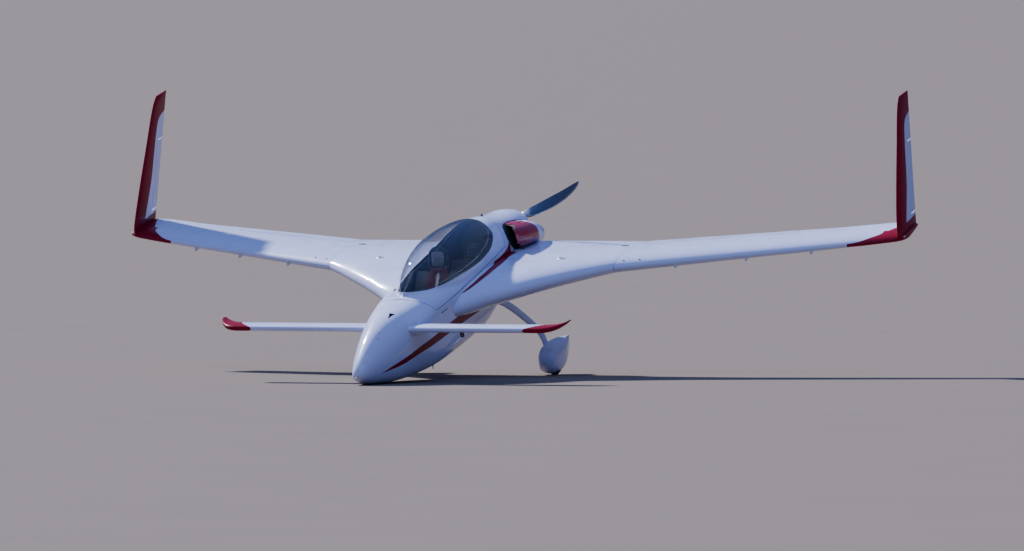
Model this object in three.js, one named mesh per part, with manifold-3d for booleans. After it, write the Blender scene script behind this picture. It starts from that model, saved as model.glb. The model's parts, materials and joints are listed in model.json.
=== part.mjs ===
// Two-seat canard homebuilt aircraft, parked nose-down on its nose bumper and main wheels.
// Millimetres. The airframe is drawn level: X to port, Y aft (stations), Z up (waterlines).
// The outer group then pitches it nose-down, as it parks with the nose gear retracted.
import * as THREE from 'three';
import { mergeVertices } from 'three/addons/utils/BufferGeometryUtils.js';
import Module from 'manifold-3d';

const wasm = await Module();
wasm.setup();

// Driving dimensions
const PARK_PITCH = THREE.MathUtils.degToRad(12.9);
const ORIGIN_STATION = 1825.6;
const GAP = 0.3;
const RUNNING_GAP = 5.5;
const WALL = 20;
const GLASS = 4;
const COWL_WALL = 8;

// Fuselage skin: station, half width, waist height, deck top, bottom, upper and lower roundness,
// then the half width and top of the canopy bubble that rises from the deck
const FUSELAGE = [
  [-402, 10, 163, 173, 153, 2.0, 2.0, 0, 0],
  [-384, 42, 162, 206, 120, 2.1, 2.1, 0, 0],
  [-320, 80, 160, 264, 76, 2.0, 2.2, 0, 0],
  [-200, 118, 166, 336, 36, 2.0, 2.4, 0, 0],
  [-50, 156, 182, 410, 0, 2.0, 2.7, 0, 0],
  [100, 190, 205, 468, -34, 2.0, 3.0, 0, 0],
  [300, 228, 240, 518, -64, 2.1, 3.5, 0, 0],
  [550, 264, 285, 552, -88, 2.4, 4.0, 0, 0],
  [800, 289, 330, 572, -104, 2.6, 4.4, 0, 400],
  [880, 294, 345, 580, -107, 2.7, 4.6, 10, 590],
  [920, 296, 352, 582, -108, 2.7, 4.7, 88, 640],
  [1000, 300, 365, 584, -110, 2.7, 4.8, 128, 698],
  [1100, 303, 378, 580, -111, 2.7, 5.0, 163, 761],
  [1250, 305, 392, 572, -112, 2.6, 5.0, 204, 834],
  [1500, 307, 405, 562, -109, 2.5, 5.0, 250, 904],
  [1750, 307, 415, 560, -105, 2.4, 5.0, 276, 932],
  [2000, 305, 425, 566, -95, 2.4, 5.0, 290, 932],
  [2300, 301, 440, 620, -70, 2.4, 5.0, 290, 916],
  [2600, 294, 455, 744, -12, 2.2, 4.4, 284, 879],
  [2900, 284, 470, 815, 50, 2.1, 3.8, 240, 785],
  [3150, 272, 485, 776, 108, 2.0, 3.3, 0, 500],
  [3400, 262, 505, 740, 166, 2.0, 2.8, 0, 500],
  [3600, 240, 525, 720, 240, 2.0, 2.3, 0, 500],
  [3735, 205, 540, 692, 340, 2.0, 2.2, 0, 500],
];
const FILLET = 26;
const RING_POINTS = 28;
const NOSE_TIP = FUSELAGE[0][0];
const COWL_AFT = FUSELAGE[FUSELAGE.length - 1][0];
const CABIN_FRONT = 260;
const FIREWALL = 3150;
const FIREWALL_THICK = 12;
const COWL_SPLIT = 470;

// Canopy split line and window outline in side view: station and height
const CANOPY_SPLIT = [[940, 439], [165, 1143], [3090, 1143], [2840, 523]];
const WINDOW_OUTLINE = [
  [905, 650], [930, 618], [965, 600], [1156, 576], [1401, 569], [1786, 569], [2145, 578],
  [2396, 602], [2535, 628], [2643, 668], [2713, 704], [2743, 745], [2760, 1000], [905, 1000],
];

// Lifting surfaces: butt line, leading edge station and height, trailing edge station and height, thickness
const STRAKE = [
  [200, 1215, 312, 3585, 424, 266],
  [305, 1330, 316, 3585, 424, 262],
  [508, 1700, 328, 3585, 424, 250],
  [762, 1985, 356, 3585, 424, 224],
  [1016, 2248, 376, 3585, 424, 192],
  [1270, 2512, 388, 3585, 424, 160],
  [1409, 2642, 394, 3585, 424, 146],
];
const WING = [
  [1409.3, 2642, 394, 3585, 424, 146],
  [2300, 3065, 392, 3846, 430, 118],
  [3200, 3492, 390, 4110, 436, 90],
  [3790, 3768, 396, 4290, 441, 70],
  [3880, 3832, 408, 4190, 440, 42],
];
// Winglet: height, butt line, leading and trailing edge station, thickness
const WINGLET = [
  [400, 3826, 3785, 4300, 60],
  [466, 3822, 3772, 4312, 60],
  [560, 3814, 3800, 4337, 58],
  [800, 3794, 3905, 4402, 52],
  [1200, 3762, 4106, 4510, 40],
  [1560, 3733, 4296, 4606, 28],
  [1626, 3727, 4362, 4626, 16],
];
// Tie-down pad under each strake: butt line, station and height of its flat face
const TIE_DOWN = { x: 1150, y: 2900, z: 300 };
const CANARD = { le: 385, te: 705, z: 369, thick: 42, root: 1490, tip: 1690, rise: 44 };
// Canard half: butt line, rise and share of the full chord
const CANARD_ROWS = [
  [20, 0, 1], [CANARD.root, 0, 1], [CANARD.root + 80, 4, 0.9], [CANARD.root + 145, 16, 0.66],
  [CANARD.tip, CANARD.rise, 0.25],
];
// Control surfaces: where they start and end along the span, and their share of the chord
const ELEVATOR = { from: 340, to: 1440, share: 0.31, nose: 0.3, endGap: RUNNING_GAP };
const AILERON = { from: 1455, to: 2780, share: 0.2, nose: 0.2, endGap: 12 };
const RUDDER = { from: 560, to: 1190, share: 0.3, nose: 0.28, endGap: 14 };
const PIN = { radius: 4, hole: 4.6, reach: 26 };

const WHEEL = { x: 710, y: 2775, z: -507, radius: 142, half: 46, rim: 66 };
const AXLE_RADIUS = 12;
// Main gear bow, from the axle to the centreline: butt line, height, chord and thickness
const LEG = [
  [640, -525, 58, 26], [640, -450, 64, 27], [626, -350, 70, 28], [592, -262, 76, 29],
  [520, -178, 84, 31], [420, -88, 92, 33], [310, -4, 98, 35], [200, 46, 102, 37], [0, 62, 104, 38],
];
// Wheel pant: station, half width, middle, top and bottom height
const PANT = [
  [2520, 8, -480, -468, -492], [2538, 46, -480, -430, -530], [2580, 78, -478, -396, -580],
  [2660, 90, -474, -350, -612], [2800, 92, -470, -336, -626], [2920, 82, -464, -342, -610],
  [3040, 56, -452, -356, -566], [3140, 28, -440, -372, -520], [3215, 5, -430, -386, -486],
];
const PANT_X = 697;
const PANT_WALL = 4;
const NOSE_WHEEL = { y: 1010, z: -30, radius: 118, half: 34, rim: 54 };
const NOSE_PIVOT = { y: 400, z: 30 };
const NOSE_WELL_HALF = 62;
const PROP = { y: 3822, z: 556, angle: THREE.MathUtils.degToRad(27), hub: 62 };
// Propeller blade: radius, chord, thickness, blade angle in degrees, sweep of its middle line
const BLADE = [
  [40, 62, 44, 44, 0], [120, 78, 30, 40, -4], [240, 100, 20, 34, -16], [400, 108, 14, 26, -24],
  [560, 96, 10, 20, -20], [690, 70, 7, 17, -4], [765, 36, 4, 15, 14], [790, 12, 3, 15, 24],
];
const BRAKE = { from: 2130, to: 2540, half: 170, knuckle: 6, relief: 18.5 };
// Cowl cheek: station, outer butt line, low and high side
const CHEEK = [
  [2965, 336, 490, 700], [3050, 372, 470, 704], [3200, 398, 450, 696], [3350, 400, 432, 675],
  [3500, 390, 415, 646], [3620, 372, 392, 606], [3735, 345, 365, 558],
];
const CHEEK_MIDDLE = 140;

const COLOURS = {
  white: [0xe9ebf2, 0.25, 0.0],
  maroon: [0x5d0f20, 0.3, 0.0],
  glass: [0x2a3440, 0.05, 0.0],
  rubber: [0x191919, 0.9, 0.0],
  metal: [0x9a9da2, 0.35, 1.0],
  blade: [0x4a5566, 0.25, 0.8],
  dark: [0x34302e, 0.8, 0.0],
  cloth: [0x6a6660, 0.95, 0.0],
};
const SIDES = [['left', 1], ['right', -1]];

// Smooth curve through the rows of a table: the value of one column at a station
function column(table, index, at) {
  const last = table.length - 1;
  if (at <= table[0][0]) return table[0][index];
  if (at >= table[last][0]) return table[last][index];
  const i = table.findIndex((row) => row[0] > at) - 1;
  const slope = (k) => (table[k + 1][index] - table[k][index]) / (table[k + 1][0] - table[k][0]);
  const tangent = (k) => {
    if (k === 0) return slope(0);
    if (k === last) return slope(last - 1);
    const [a, b] = [slope(k - 1), slope(k)];
    return a * b <= 0 ? 0 : (2 * a * b) / (a + b);
  };
  const h = table[i + 1][0] - table[i][0];
  const t = (at - table[i][0]) / h;
  return (2 * t ** 3 - 3 * t ** 2 + 1) * table[i][index]
    + (t ** 3 - 2 * t ** 2 + t) * h * tangent(i)
    + (-2 * t ** 3 + 3 * t ** 2) * table[i + 1][index]
    + (t ** 3 - t ** 2) * h * tangent(i + 1);
}

// Straight line through the rows of a table
function between(table, index, at) {
  const i = Math.min(table.length - 2, Math.max(0, table.findIndex((row) => row[0] > at) - 1));
  const t = (at - table[i][0]) / (table[i + 1][0] - table[i][0]);
  return table[i][index] + t * (table[i + 1][index] - table[i][index]);
}

function fromTriangles(vertices, triangles) {
  const geometry = new THREE.BufferGeometry();
  geometry.setAttribute('position', new THREE.BufferAttribute(new Float32Array(vertices), 3));
  geometry.setIndex(triangles);
  return geometry;
}

function signedVolume(geometry) {
  const position = geometry.getAttribute('position');
  const index = geometry.getIndex();
  const corner = [new THREE.Vector3(), new THREE.Vector3(), new THREE.Vector3()];
  let sum = 0;
  for (let i = 0; i < index.count; i += 3) {
    corner.forEach((point, k) => point.fromBufferAttribute(position, index.getX(i + k)));
    sum += corner[0].dot(corner[1].cross(corner[2]));
  }
  return sum / 6;
}

// A closed geometry as a solid with its faces pointing out
function solid(geometry) {
  const bare = geometry.clone();
  bare.deleteAttribute('normal');
  bare.deleteAttribute('uv');
  const merged = mergeVertices(bare, 1e-3);
  const index = Array.from(merged.getIndex().array);
  const triangles = [];
  const inside = signedVolume(merged) < 0;
  for (let i = 0; i < index.length; i += 3) {
    const [a, b, c] = index.slice(i, i + 3);
    if (a !== b && b !== c && c !== a) triangles.push(a, inside ? c : b, inside ? b : c);
  }
  const mesh = new wasm.Mesh({
    numProp: 3,
    vertProperties: new Float32Array(merged.getAttribute('position').array),
    triVerts: new Uint32Array(triangles),
  });
  return new wasm.Manifold(mesh);
}

function geometryOf(shape) {
  const mesh = shape.getMesh();
  return fromTriangles(mesh.vertProperties, Array.from(mesh.triVerts));
}

// Rings of equal length joined by quads and closed by flat ends
function loft(rings) {
  const count = rings[0].length;
  const vertices = rings.flat().flatMap((p) => [p.x, p.y, p.z]);
  const triangles = [];
  for (let r = 0; r + 1 < rings.length; r += 1) {
    for (let i = 0; i < count; i += 1) {
      const j = (i + 1) % count;
      const [a, b, c, d] = [r * count + i, r * count + j, (r + 1) * count + j, (r + 1) * count + i];
      triangles.push(a, b, c, a, c, d);
    }
  }
  for (const [ring, first] of [[0, true], [rings.length - 1, false]]) {
    const centre = rings[ring].reduce((s, p) => s.add(p), new THREE.Vector3()).divideScalar(count);
    const hub = vertices.length / 3;
    vertices.push(centre.x, centre.y, centre.z);
    for (let i = 0; i < count; i += 1) {
      const a = ring * count + i;
      const b = ring * count + ((i + 1) % count);
      triangles.push(hub, first ? b : a, first ? a : b);
    }
  }
  return solid(fromTriangles(vertices, triangles));
}

const power = (value, exponent) => Math.sign(value) * Math.abs(value) ** exponent;

// A rounded ring across the airframe: its middle, half width, top and bottom, and roundness of each half
function crossRing(y, x, half, waist, top, bottom, upper = 2, lower = 2, points = RING_POINTS) {
  return Array.from({ length: points }, (_, i) => {
    const t = (2 * Math.PI * i) / points;
    const above = Math.sin(t) >= 0;
    const exponent = 2 / (above ? upper : lower);
    const rise = above ? top - waist : waist - bottom;
    return new THREE.Vector3(
      x + half * power(Math.cos(t), exponent), y, waist + rise * power(Math.sin(t), exponent));
  });
}

// Distance from the middle of a rounded outline to its edge, along a direction
function reach(c, s, half, rise, exponent) {
  const sum = (Math.abs(c) / Math.max(half, 1)) ** exponent + (Math.abs(s) / Math.max(rise, 1)) ** exponent;
  return sum ** (-1 / exponent);
}

// The larger of two lengths, filleted where they meet
function filleted(a, b) {
  const near = Math.max(FILLET - Math.abs(a - b), 0);
  return Math.max(a, b) + near ** 2 / (4 * FILLET);
}

// One cross-section of the fuselage skin, drawn inwards by inset
function fuselageRing(y, inset) {
  const [half, waist, deck, bottom, upper, lower, bubble, bubbleTop] = (
    [1, 2, 3, 4, 5, 6, 7, 8].map((i) => column(FUSELAGE, i, y)));
  const ring = crossRing(y, 0, half - inset, waist, deck - inset, bottom + inset, upper, lower);
  return ring.map((point, i) => {
    const t = (2 * Math.PI * i) / RING_POINTS;
    const [c, s] = [Math.cos(t), Math.sin(t)];
    if (s <= 1e-6) return point;
    const r = filleted(reach(c, s, half - inset, deck - inset - waist, upper),
      reach(c, s, bubble - inset, bubbleTop - inset - waist, 2));
    return new THREE.Vector3(r * c, y, waist + r * s);
  });
}

const STATION_STEP = 250;

function fuselageBody(from, to, inset = 0) {
  const knots = [from, ...FUSELAGE.map((row) => row[0]).filter((y) => y > from + 9 && y < to - 9), to];
  const stations = knots.slice(0, -1).flatMap((y, i) => {
    const parts = Math.ceil((knots[i + 1] - y) / STATION_STEP);
    return Array.from({ length: parts }, (_, k) => y + ((knots[i + 1] - y) * k) / parts);
  });
  return loft([...stations, to].map((y) => fuselageRing(y, inset)));
}

// Half thickness of a wing section at a share of its chord, for a section of thickness 1
function thicknessAt(x) {
  return 5 * (0.2969 * Math.sqrt(x) - 0.126 * x - 0.3516 * x ** 2 + 0.2843 * x ** 3 - 0.1036 * x ** 4);
}

const CHORD_STEPS = 7;
const BLUNT_EDGE = 1.5;

// A closed wing section as chord and height pairs, its trailing edge blunt
function sectionOutline(chord, thick) {
  const upper = Array.from({ length: CHORD_STEPS + 1 }, (_, i) => {
    const x = (1 - Math.cos((Math.PI * i) / CHORD_STEPS)) / 2;
    return [x * chord, thicknessAt(x) * thick + BLUNT_EDGE * x];
  });
  const lower = upper.slice(1).reverse().map(([x, h]) => [x, -h]);
  return [...upper, ...lower];
}

// A section of a wing standing across the span
function wingRing([x, leY, leZ, teY, teZ, thick], side) {
  const chord = Math.hypot(teY - leY, teZ - leZ);
  const [c, s] = [(teY - leY) / chord, (teZ - leZ) / chord];
  return sectionOutline(chord, thick).map(([u, h]) => (
    new THREE.Vector3(side * x, leY + u * c - h * s, leZ + u * s + h * c)));
}
const wingBody = (table, side) => loft(table.map((row) => wingRing(row, side)));
const thicker = (table, by) => table.map(([x, leY, leZ, teY, teZ, thick]) => (
  [x, leY - by, leZ, teY + by, teZ, thick + 2 * by]));

// A section of a winglet, lying level
function wingletRing([z, x, leY, teY, thick], side) {
  return sectionOutline(teY - leY, thick).map(([u, h]) => new THREE.Vector3(side * (x + h), leY + u, z));
}

function box(x0, x1, y0, y1, z0, z1) {
  const geometry = new THREE.BoxGeometry(Math.abs(x1 - x0), Math.abs(y1 - y0), Math.abs(z1 - z0));
  return solid(geometry.translate((x0 + x1) / 2, (y0 + y1) / 2, (z0 + z1) / 2));
}

function extruded(points, depth, xAxis, yAxis, zAxis) {
  const shape = new THREE.Shape(points.map(([u, v]) => new THREE.Vector2(u, v)));
  const geometry = new THREE.ExtrudeGeometry(shape, { depth, bevelEnabled: false });
  const turn = new THREE.Matrix4().makeBasis(
    new THREE.Vector3(...xAxis), new THREE.Vector3(...yAxis), new THREE.Vector3(...zAxis));
  return geometry.applyMatrix4(turn);
}

// A side-view outline, station and height, between two butt lines
const sideCut = (points, from, to) => (
  solid(extruded(points, to - from, [0, 1, 0], [0, 0, 1], [1, 0, 0]).translate(from, 0, 0)));

// A plan outline, butt line and station, between two heights
const planCut = (points, from, to) => (
  solid(extruded(points, to - from, [1, 0, 0], [0, 1, 0], [0, 0, 1]).translate(0, 0, from)));

// A side-view outline with every edge moved outwards
function grow(points, by) {
  const next = (i) => points[(i + 1) % points.length];
  const area = points.reduce((sum, [y, z], i) => sum + y * next(i)[1] - next(i)[0] * z, 0);
  const edges = points.map(([y, z], i) => {
    const [dy, dz] = [next(i)[0] - y, next(i)[1] - z];
    const length = Math.sign(area) * Math.hypot(dy, dz);
    const [ny, nz] = [dz / length, -dy / length];
    return [ny, nz, ny * y + nz * z + by];
  });
  return edges.map(([ny, nz, reach], i) => {
    const [my, mz, last] = edges[(i + edges.length - 1) % edges.length];
    const det = my * nz - mz * ny;
    return [(last * nz - reach * mz) / det, (my * reach - ny * last) / det];
  });
}

// A round bar between two points, tapered where its second radius differs
function bar(from, to, radius, sides = 12, radiusTo = radius) {
  const [a, b] = [new THREE.Vector3(...from), new THREE.Vector3(...to)];
  const geometry = new THREE.CylinderGeometry(radiusTo, radius, a.distanceTo(b), sides);
  const along = b.clone().sub(a).normalize();
  geometry.applyQuaternion(new THREE.Quaternion().setFromUnitVectors(new THREE.Vector3(0, 1, 0), along));
  return solid(geometry.translate(...a.add(b).multiplyScalar(0.5).toArray()));
}

// A turned solid about the X axis: radius and sideways offset pairs
function turned(profile, sides = 24) {
  const points = profile.map(([r, x]) => new THREE.Vector2(r, x));
  const geometry = new THREE.LatheGeometry([...points, points[0]], sides);
  return solid(geometry.rotateZ(-Math.PI / 2));
}

// The airframe group is level inside and pitched as parked, wheels on the ground at Z 0
const root = new THREE.Group();
const airframe = new THREE.Group();
const axleRise = WHEEL.y * Math.sin(PARK_PITCH) + WHEEL.z * Math.cos(PARK_PITCH);
const parkedRise = WHEEL.radius - axleRise;
airframe.rotation.x = PARK_PITCH;
airframe.position.set(0, -ORIGIN_STATION, parkedRise);
root.add(airframe);

function place(name, shape, colour, at = [0, 0, 0]) {
  const [color, roughness, metalness] = COLOURS[colour];
  const material = new THREE.MeshStandardMaterial({ color, roughness, metalness });
  const mesh = new THREE.Mesh(geometryOf(shape), material);
  mesh.name = name;
  mesh.position.set(...at);
  airframe.add(mesh);
}

// Control surfaces: each turns on pins along its hinge line, its nose round in a round cove
function hingeEnds(pointAt, surface, extra) {
  const [a, b] = [pointAt(surface.from), pointAt(surface.to)].map((p) => new THREE.Vector3(...p));
  const along = b.clone().sub(a).normalize();
  return [a.addScaledVector(along, -extra).toArray(), b.addScaledVector(along, extra).toArray()];
}
function splitSurface(whole, surface, pointAt, noseAt, behind) {
  const nose = (grown, extra) => {
    const ends = hingeEnds(pointAt, surface, extra);
    return bar(ends[0], ends[1], noseAt(surface.from) + grown, 24, noseAt(surface.to) + grown);
  };
  const window = (extra) => behind(surface.from - extra, surface.to + extra, true);
  const zone = behind(surface.from, surface.to).add(nose(0, 40)).intersect(window(0));
  const bay = behind(surface.from - surface.endGap, surface.to + surface.endGap)
    .add(nose(RUNNING_GAP, 60)).intersect(window(surface.endGap));
  const pin = bar(...hingeEnds(pointAt, surface, surface.endGap + PIN.reach), PIN.radius, 12);
  const hole = bar(...hingeEnds(pointAt, surface, surface.endGap + PIN.reach + 1), PIN.hole, 24);
  return { moving: whole.intersect(zone).add(pin), fixed: whole.subtract(bay).subtract(hole) };
}

// Canard and elevators
const canardTable = CANARD_ROWS.map(([x, rise, share]) => {
  const cut = (1 - share) * (CANARD.te - CANARD.le);
  const z = CANARD.z + rise;
  return [x, CANARD.le + cut * 0.95, z, CANARD.te + cut * 0.05, z + 6, CANARD.thick * share];
});
const canardLoft = (table) => loft([
  ...table.slice().reverse().map((row) => wingRing(row, -1)), ...table.map((row) => wingRing(row, 1))]);
let canard = canardLoft(canardTable);
const canardHole = canardLoft(thicker(canardTable.slice(0, 2), GAP));
const chordPoint = (table, share) => (x) => [
  x,
  between(table, 1, x) + share * (between(table, 3, x) - between(table, 1, x)),
  between(table, 2, x) + share * (between(table, 4, x) - between(table, 2, x)),
];
for (const [name, side] of SIDES) {
  const mirrored = (p) => [side * p[0], p[1], p[2]];
  const pointAt = (x) => mirrored(chordPoint(canardTable, 1 - ELEVATOR.share)(x));
  const behind = (from, to, whole = false) => {
    const front = whole ? CANARD.le - 50 : pointAt(from)[1];
    return box(side * from, side * to, front, CANARD.te + 50, CANARD.z - 90, CANARD.z + 90);
  };
  const noseAt = () => ELEVATOR.nose * CANARD.thick;
  const { moving, fixed } = splitSurface(canard, ELEVATOR, pointAt, noseAt, behind);
  canard = fixed;
  place(`elevator_${name}`, moving, 'white');
}
// Small probe under the port half
const PROBE = { x: 705, y: 480, half: 13, depth: 46 };
const probe = sideCut([
  [PROBE.y - 30, CANARD.z - 10], [PROBE.y - 16, CANARD.z - 20 - PROBE.depth],
  [PROBE.y + 26, CANARD.z - 20 - PROBE.depth], [PROBE.y + 40, CANARD.z - 10],
], PROBE.x - PROBE.half, PROBE.x + PROBE.half);
place('canard', canard.add(probe), 'white');

// Canopy hinges on the starboard sill: a knuckle on the canopy turns on a pin held by two posts
const HINGE_STATIONS = [1420, 2480];
const HINGE_LINE = { x: -313, y: 1890, z: 478.5, tilt: (523 - 439) / (2840 - 940) };
const KNUCKLE = { radius: 8, half: 26 };
const POST = { at: 40, half: 7, foot: 9, depth: 34 };
function canopyHinge(station) {
  const at = (y) => [HINGE_LINE.x, y, HINGE_LINE.z + (y - HINGE_LINE.y) * HINGE_LINE.tilt];
  const [x, , z] = at(station);
  const along = (half, radius, sides) => bar(at(station - half), at(station + half), radius, sides);
  const posts = (grown) => [-POST.at, POST.at].flatMap((y) => {
    const [from, to] = [station + y - POST.half - grown, station + y + POST.half + grown];
    return [
      box(x - 6 - grown, x + 9, from, to, z - POST.depth - grown, z + 5 + grown),
      box(x - 6 - grown, x + 24, from, to, z - POST.depth - grown, z - POST.foot),
    ];
  }).reduce((sum, piece) => sum.add(piece));
  const pinHalf = POST.at + POST.half + 1;
  const tab = box(x, x + 32, station - KNUCKLE.half, station + KNUCKLE.half, z + 4, z + 14);
  return {
    post: along(pinHalf, PIN.radius, 12).add(posts(0)),
    recess: posts(GAP).add(along(pinHalf + GAP, PIN.radius + GAP, 12)),
    relief: along(KNUCKLE.half + RUNNING_GAP, KNUCKLE.radius + RUNNING_GAP, 24),
    knuckle: along(KNUCKLE.half, KNUCKLE.radius, 16).add(tab).subtract(along(pinHalf, PIN.hole, 24)),
  };
}
const hinges = HINGE_STATIONS.map(canopyHinge);

// Strakes, wings, ailerons, winglets and rudders
const skin = fuselageBody(NOSE_TIP, COWL_AFT);
const skinClear = fuselageBody(NOSE_TIP, COWL_AFT, -GAP);
const cheekBody = (side, inset) => loft(CHEEK.map(([y, outer, low, high], i) => {
  const open = inset > 0 && i === 0 ? y - 5 : y;
  return crossRing(open, side * CHEEK_MIDDLE, outer - inset - CHEEK_MIDDLE,
    (low + high) / 2, high - inset, low + inset, 3, 3, 24);
}));
// Three small fences under the leading edge of each wing
const VORTILONS = [[1928, 2886], [2525, 3170], [3073, 3432]];
function vortilon(side, x, y) {
  const z = between(WING, 2, x);
  const plate = [[y - 22, z - 8], [y - 30, z - 44], [y + 66, z - 50], [y + 90, z - 20]];
  return sideCut(plate, side * x - 2, side * x + 2);
}
for (const [name, side] of SIDES) {
  const padAt = side * TIE_DOWN.x;
  const pad = box(padAt - 25, padAt + 25, TIE_DOWN.y - 25, TIE_DOWN.y + 25, TIE_DOWN.z, 400);
  const strake = wingBody(STRAKE, side).add(pad).subtract(skinClear);
  place(`strake_${name}`, hinges.reduce((sum, h) => sum.subtract(h.recess).subtract(h.relief), strake), 'white');

  const pointAt = (x) => {
    const p = chordPoint(WING, 1 - AILERON.share)(x);
    return [side * p[0], p[1], p[2]];
  };
  const behind = (from, to, whole = false) => planCut([
    [side * from, whole ? 2400 : pointAt(from)[1]], [side * to, whole ? 2400 : pointAt(to)[1]],
    [side * to, 4400], [side * from, 4400]], 200, 700);
  const noseAt = (x) => AILERON.nose * between(WING, 5, x);
  const fences = VORTILONS.map(([x, y]) => vortilon(side, x, y));
  const wing = fences.reduce((sum, fence) => sum.add(fence), wingBody(WING, side));
  const { moving, fixed } = splitSurface(wing, AILERON, pointAt, noseAt, behind);
  place(`wing_${name}`, fixed, 'white');
  place(`aileron_${name}`, moving, 'white');

  const tall = loft(WINGLET.map((row) => wingletRing(row, side))).subtract(wingBody(thicker(WING, GAP), side));
  const winglet = tall.intersect(box(side * 3600, side * 4000, 3500, 4800, 425, 1700));
  const share = 1 - RUDDER.share;
  const rudderAt = (z) => [
    side * between(WINGLET, 1, z),
    between(WINGLET, 2, z) + share * (between(WINGLET, 3, z) - between(WINGLET, 2, z)), z];
  const aft = (from, to, whole = false) => sideCut([
    [whole ? 3500 : rudderAt(from)[1], from], [whole ? 3500 : rudderAt(to)[1], to],
    [4800, to], [4800, from]], side * 3800 - 250, side * 3800 + 250);
  const tailNose = (z) => RUDDER.nose * between(WINGLET, 4, z);
  const tail = splitSurface(winglet, RUDDER, rudderAt, tailNose, aft);
  place(`winglet_${name}`, tail.fixed, 'white');
  place(`rudder_${name}`, tail.moving, 'white');
}

// Main gear bow with its axles, and the belly it passes through
const bow = [...LEG, ...LEG.slice(0, -1).reverse().map(([x, z, chord, thick]) => [-x, z, chord, thick])];
const LEG_STATION = WHEEL.y;
function legRing([x, z, chord, thick], i, grown) {
  const before = bow[Math.max(0, i - 1)];
  const after = bow[Math.min(bow.length - 1, i + 1)];
  const length = Math.hypot(after[0] - before[0], after[1] - before[1]);
  const [nx, nz] = [(before[1] - after[1]) / length, (after[0] - before[0]) / length];
  return Array.from({ length: 12 }, (_, k) => {
    const t = (2 * Math.PI * k) / 12;
    const across = (thick / 2 + grown) * Math.sin(t);
    return new THREE.Vector3(x + nx * across, LEG_STATION + (chord / 2 + grown) * Math.cos(t), z + nz * across);
  });
}
const legBow = (grown) => loft(bow.map((row, i) => legRing(row, i, grown)));
const axle = (side, grown) => bar(
  [side * 645, WHEEL.y, WHEEL.z], [side * (WHEEL.x + WHEEL.half + 4), WHEEL.y, WHEEL.z], AXLE_RADIUS + grown);
place('main_gear_bow', legBow(0), 'white');

// Tyres, rims and wheel pants
function tyreProfile(wheel) {
  const seat = wheel.rim + GAP;
  return [
    [seat, -wheel.half * 0.6], [wheel.radius * 0.72, -wheel.half], [wheel.radius * 0.9, -wheel.half * 0.9],
    [wheel.radius, -wheel.half * 0.5], [wheel.radius, wheel.half * 0.5], [wheel.radius * 0.9, wheel.half * 0.9],
    [wheel.radius * 0.72, wheel.half], [seat, wheel.half * 0.6],
  ];
}
const rimProfile = (wheel, bore) => [
  [bore, -wheel.half * 0.7], [wheel.rim * 0.5, -wheel.half * 0.7], [wheel.rim, -wheel.half * 0.55],
  [wheel.rim, wheel.half * 0.55], [wheel.rim * 0.5, wheel.half * 0.7], [bore, wheel.half * 0.7],
];
const pantBody = (side, inset) => loft(PANT.map(([y, half, middle, top, bottom], i) => {
  const end = i === 0 ? inset : 0;
  return crossRing(y + end, side * PANT_X, Math.max(2, half - inset), middle,
    Math.max(top - inset, middle + 2), Math.min(bottom + inset, middle - 2), 3.2, 3, 20);
}));
for (const [name, side] of SIDES) {
  const hub = [side * WHEEL.x, WHEEL.y, WHEEL.z];
  place(`tyre_${name}`, turned(tyreProfile(WHEEL)), 'rubber', hub);
  place(`rim_${name}`, turned(rimProfile(WHEEL, AXLE_RADIUS + 0.6)), 'metal', hub);
  place(`axle_${name}`, axle(side, 0).subtract(legBow(GAP)), 'metal');
  const slot = box(side * 640, side * (WHEEL.x + WHEEL.half + 9), WHEEL.y - 130, WHEEL.y + 135, -720, -560);
  const pant = pantBody(side, 0).subtract(pantBody(side, PANT_WALL)).subtract(slot).subtract(legBow(GAP));
  place(`wheel_pant_${name}`, pant, 'white');
}

// Nose gear folded back into its belly well
const noseWell = box(-NOSE_WELL_HALF, NOSE_WELL_HALF, NOSE_PIVOT.y - 50,
  NOSE_WHEEL.y + NOSE_WHEEL.radius + 14, -300, 108);
const noseHub = [0, NOSE_WHEEL.y, NOSE_WHEEL.z];
place('nose_tyre', turned(tyreProfile(NOSE_WHEEL)), 'rubber', noseHub);
place('nose_rim', turned(rimProfile(NOSE_WHEEL, AXLE_RADIUS - 3.4)), 'metal', noseHub);
const forkArm = (x) => sideCut([
  [NOSE_WHEEL.y + 22, NOSE_WHEEL.z - 22], [NOSE_WHEEL.y + 22, NOSE_WHEEL.z + 22],
  [NOSE_WHEEL.y - 150, NOSE_WHEEL.z + 52], [NOSE_WHEEL.y - 150, NOSE_WHEEL.z + 8]], x - 4, x + 4);
const forkHead = box(-50, 50, NOSE_WHEEL.y - 165, NOSE_WHEEL.y - 135, NOSE_WHEEL.z + 4, NOSE_WHEEL.z + 56);
const strut = bar([0, NOSE_PIVOT.y, NOSE_PIVOT.z], [0, NOSE_WHEEL.y - 150, NOSE_WHEEL.z + 28], 22, 12, 18);
const pivotTube = bar([-NOSE_WELL_HALF + GAP, NOSE_PIVOT.y, NOSE_PIVOT.z],
  [NOSE_WELL_HALF - GAP, NOSE_PIVOT.y, NOSE_PIVOT.z], 16);
const noseAxle = bar([-50, NOSE_WHEEL.y, NOSE_WHEEL.z], [50, NOSE_WHEEL.y, NOSE_WHEEL.z], AXLE_RADIUS - 4);
place('nose_gear', [forkArm(46), forkArm(-46), forkHead, pivotTube, noseAxle]
  .reduce((sum, piece) => sum.add(piece), strut), 'metal');

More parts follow.
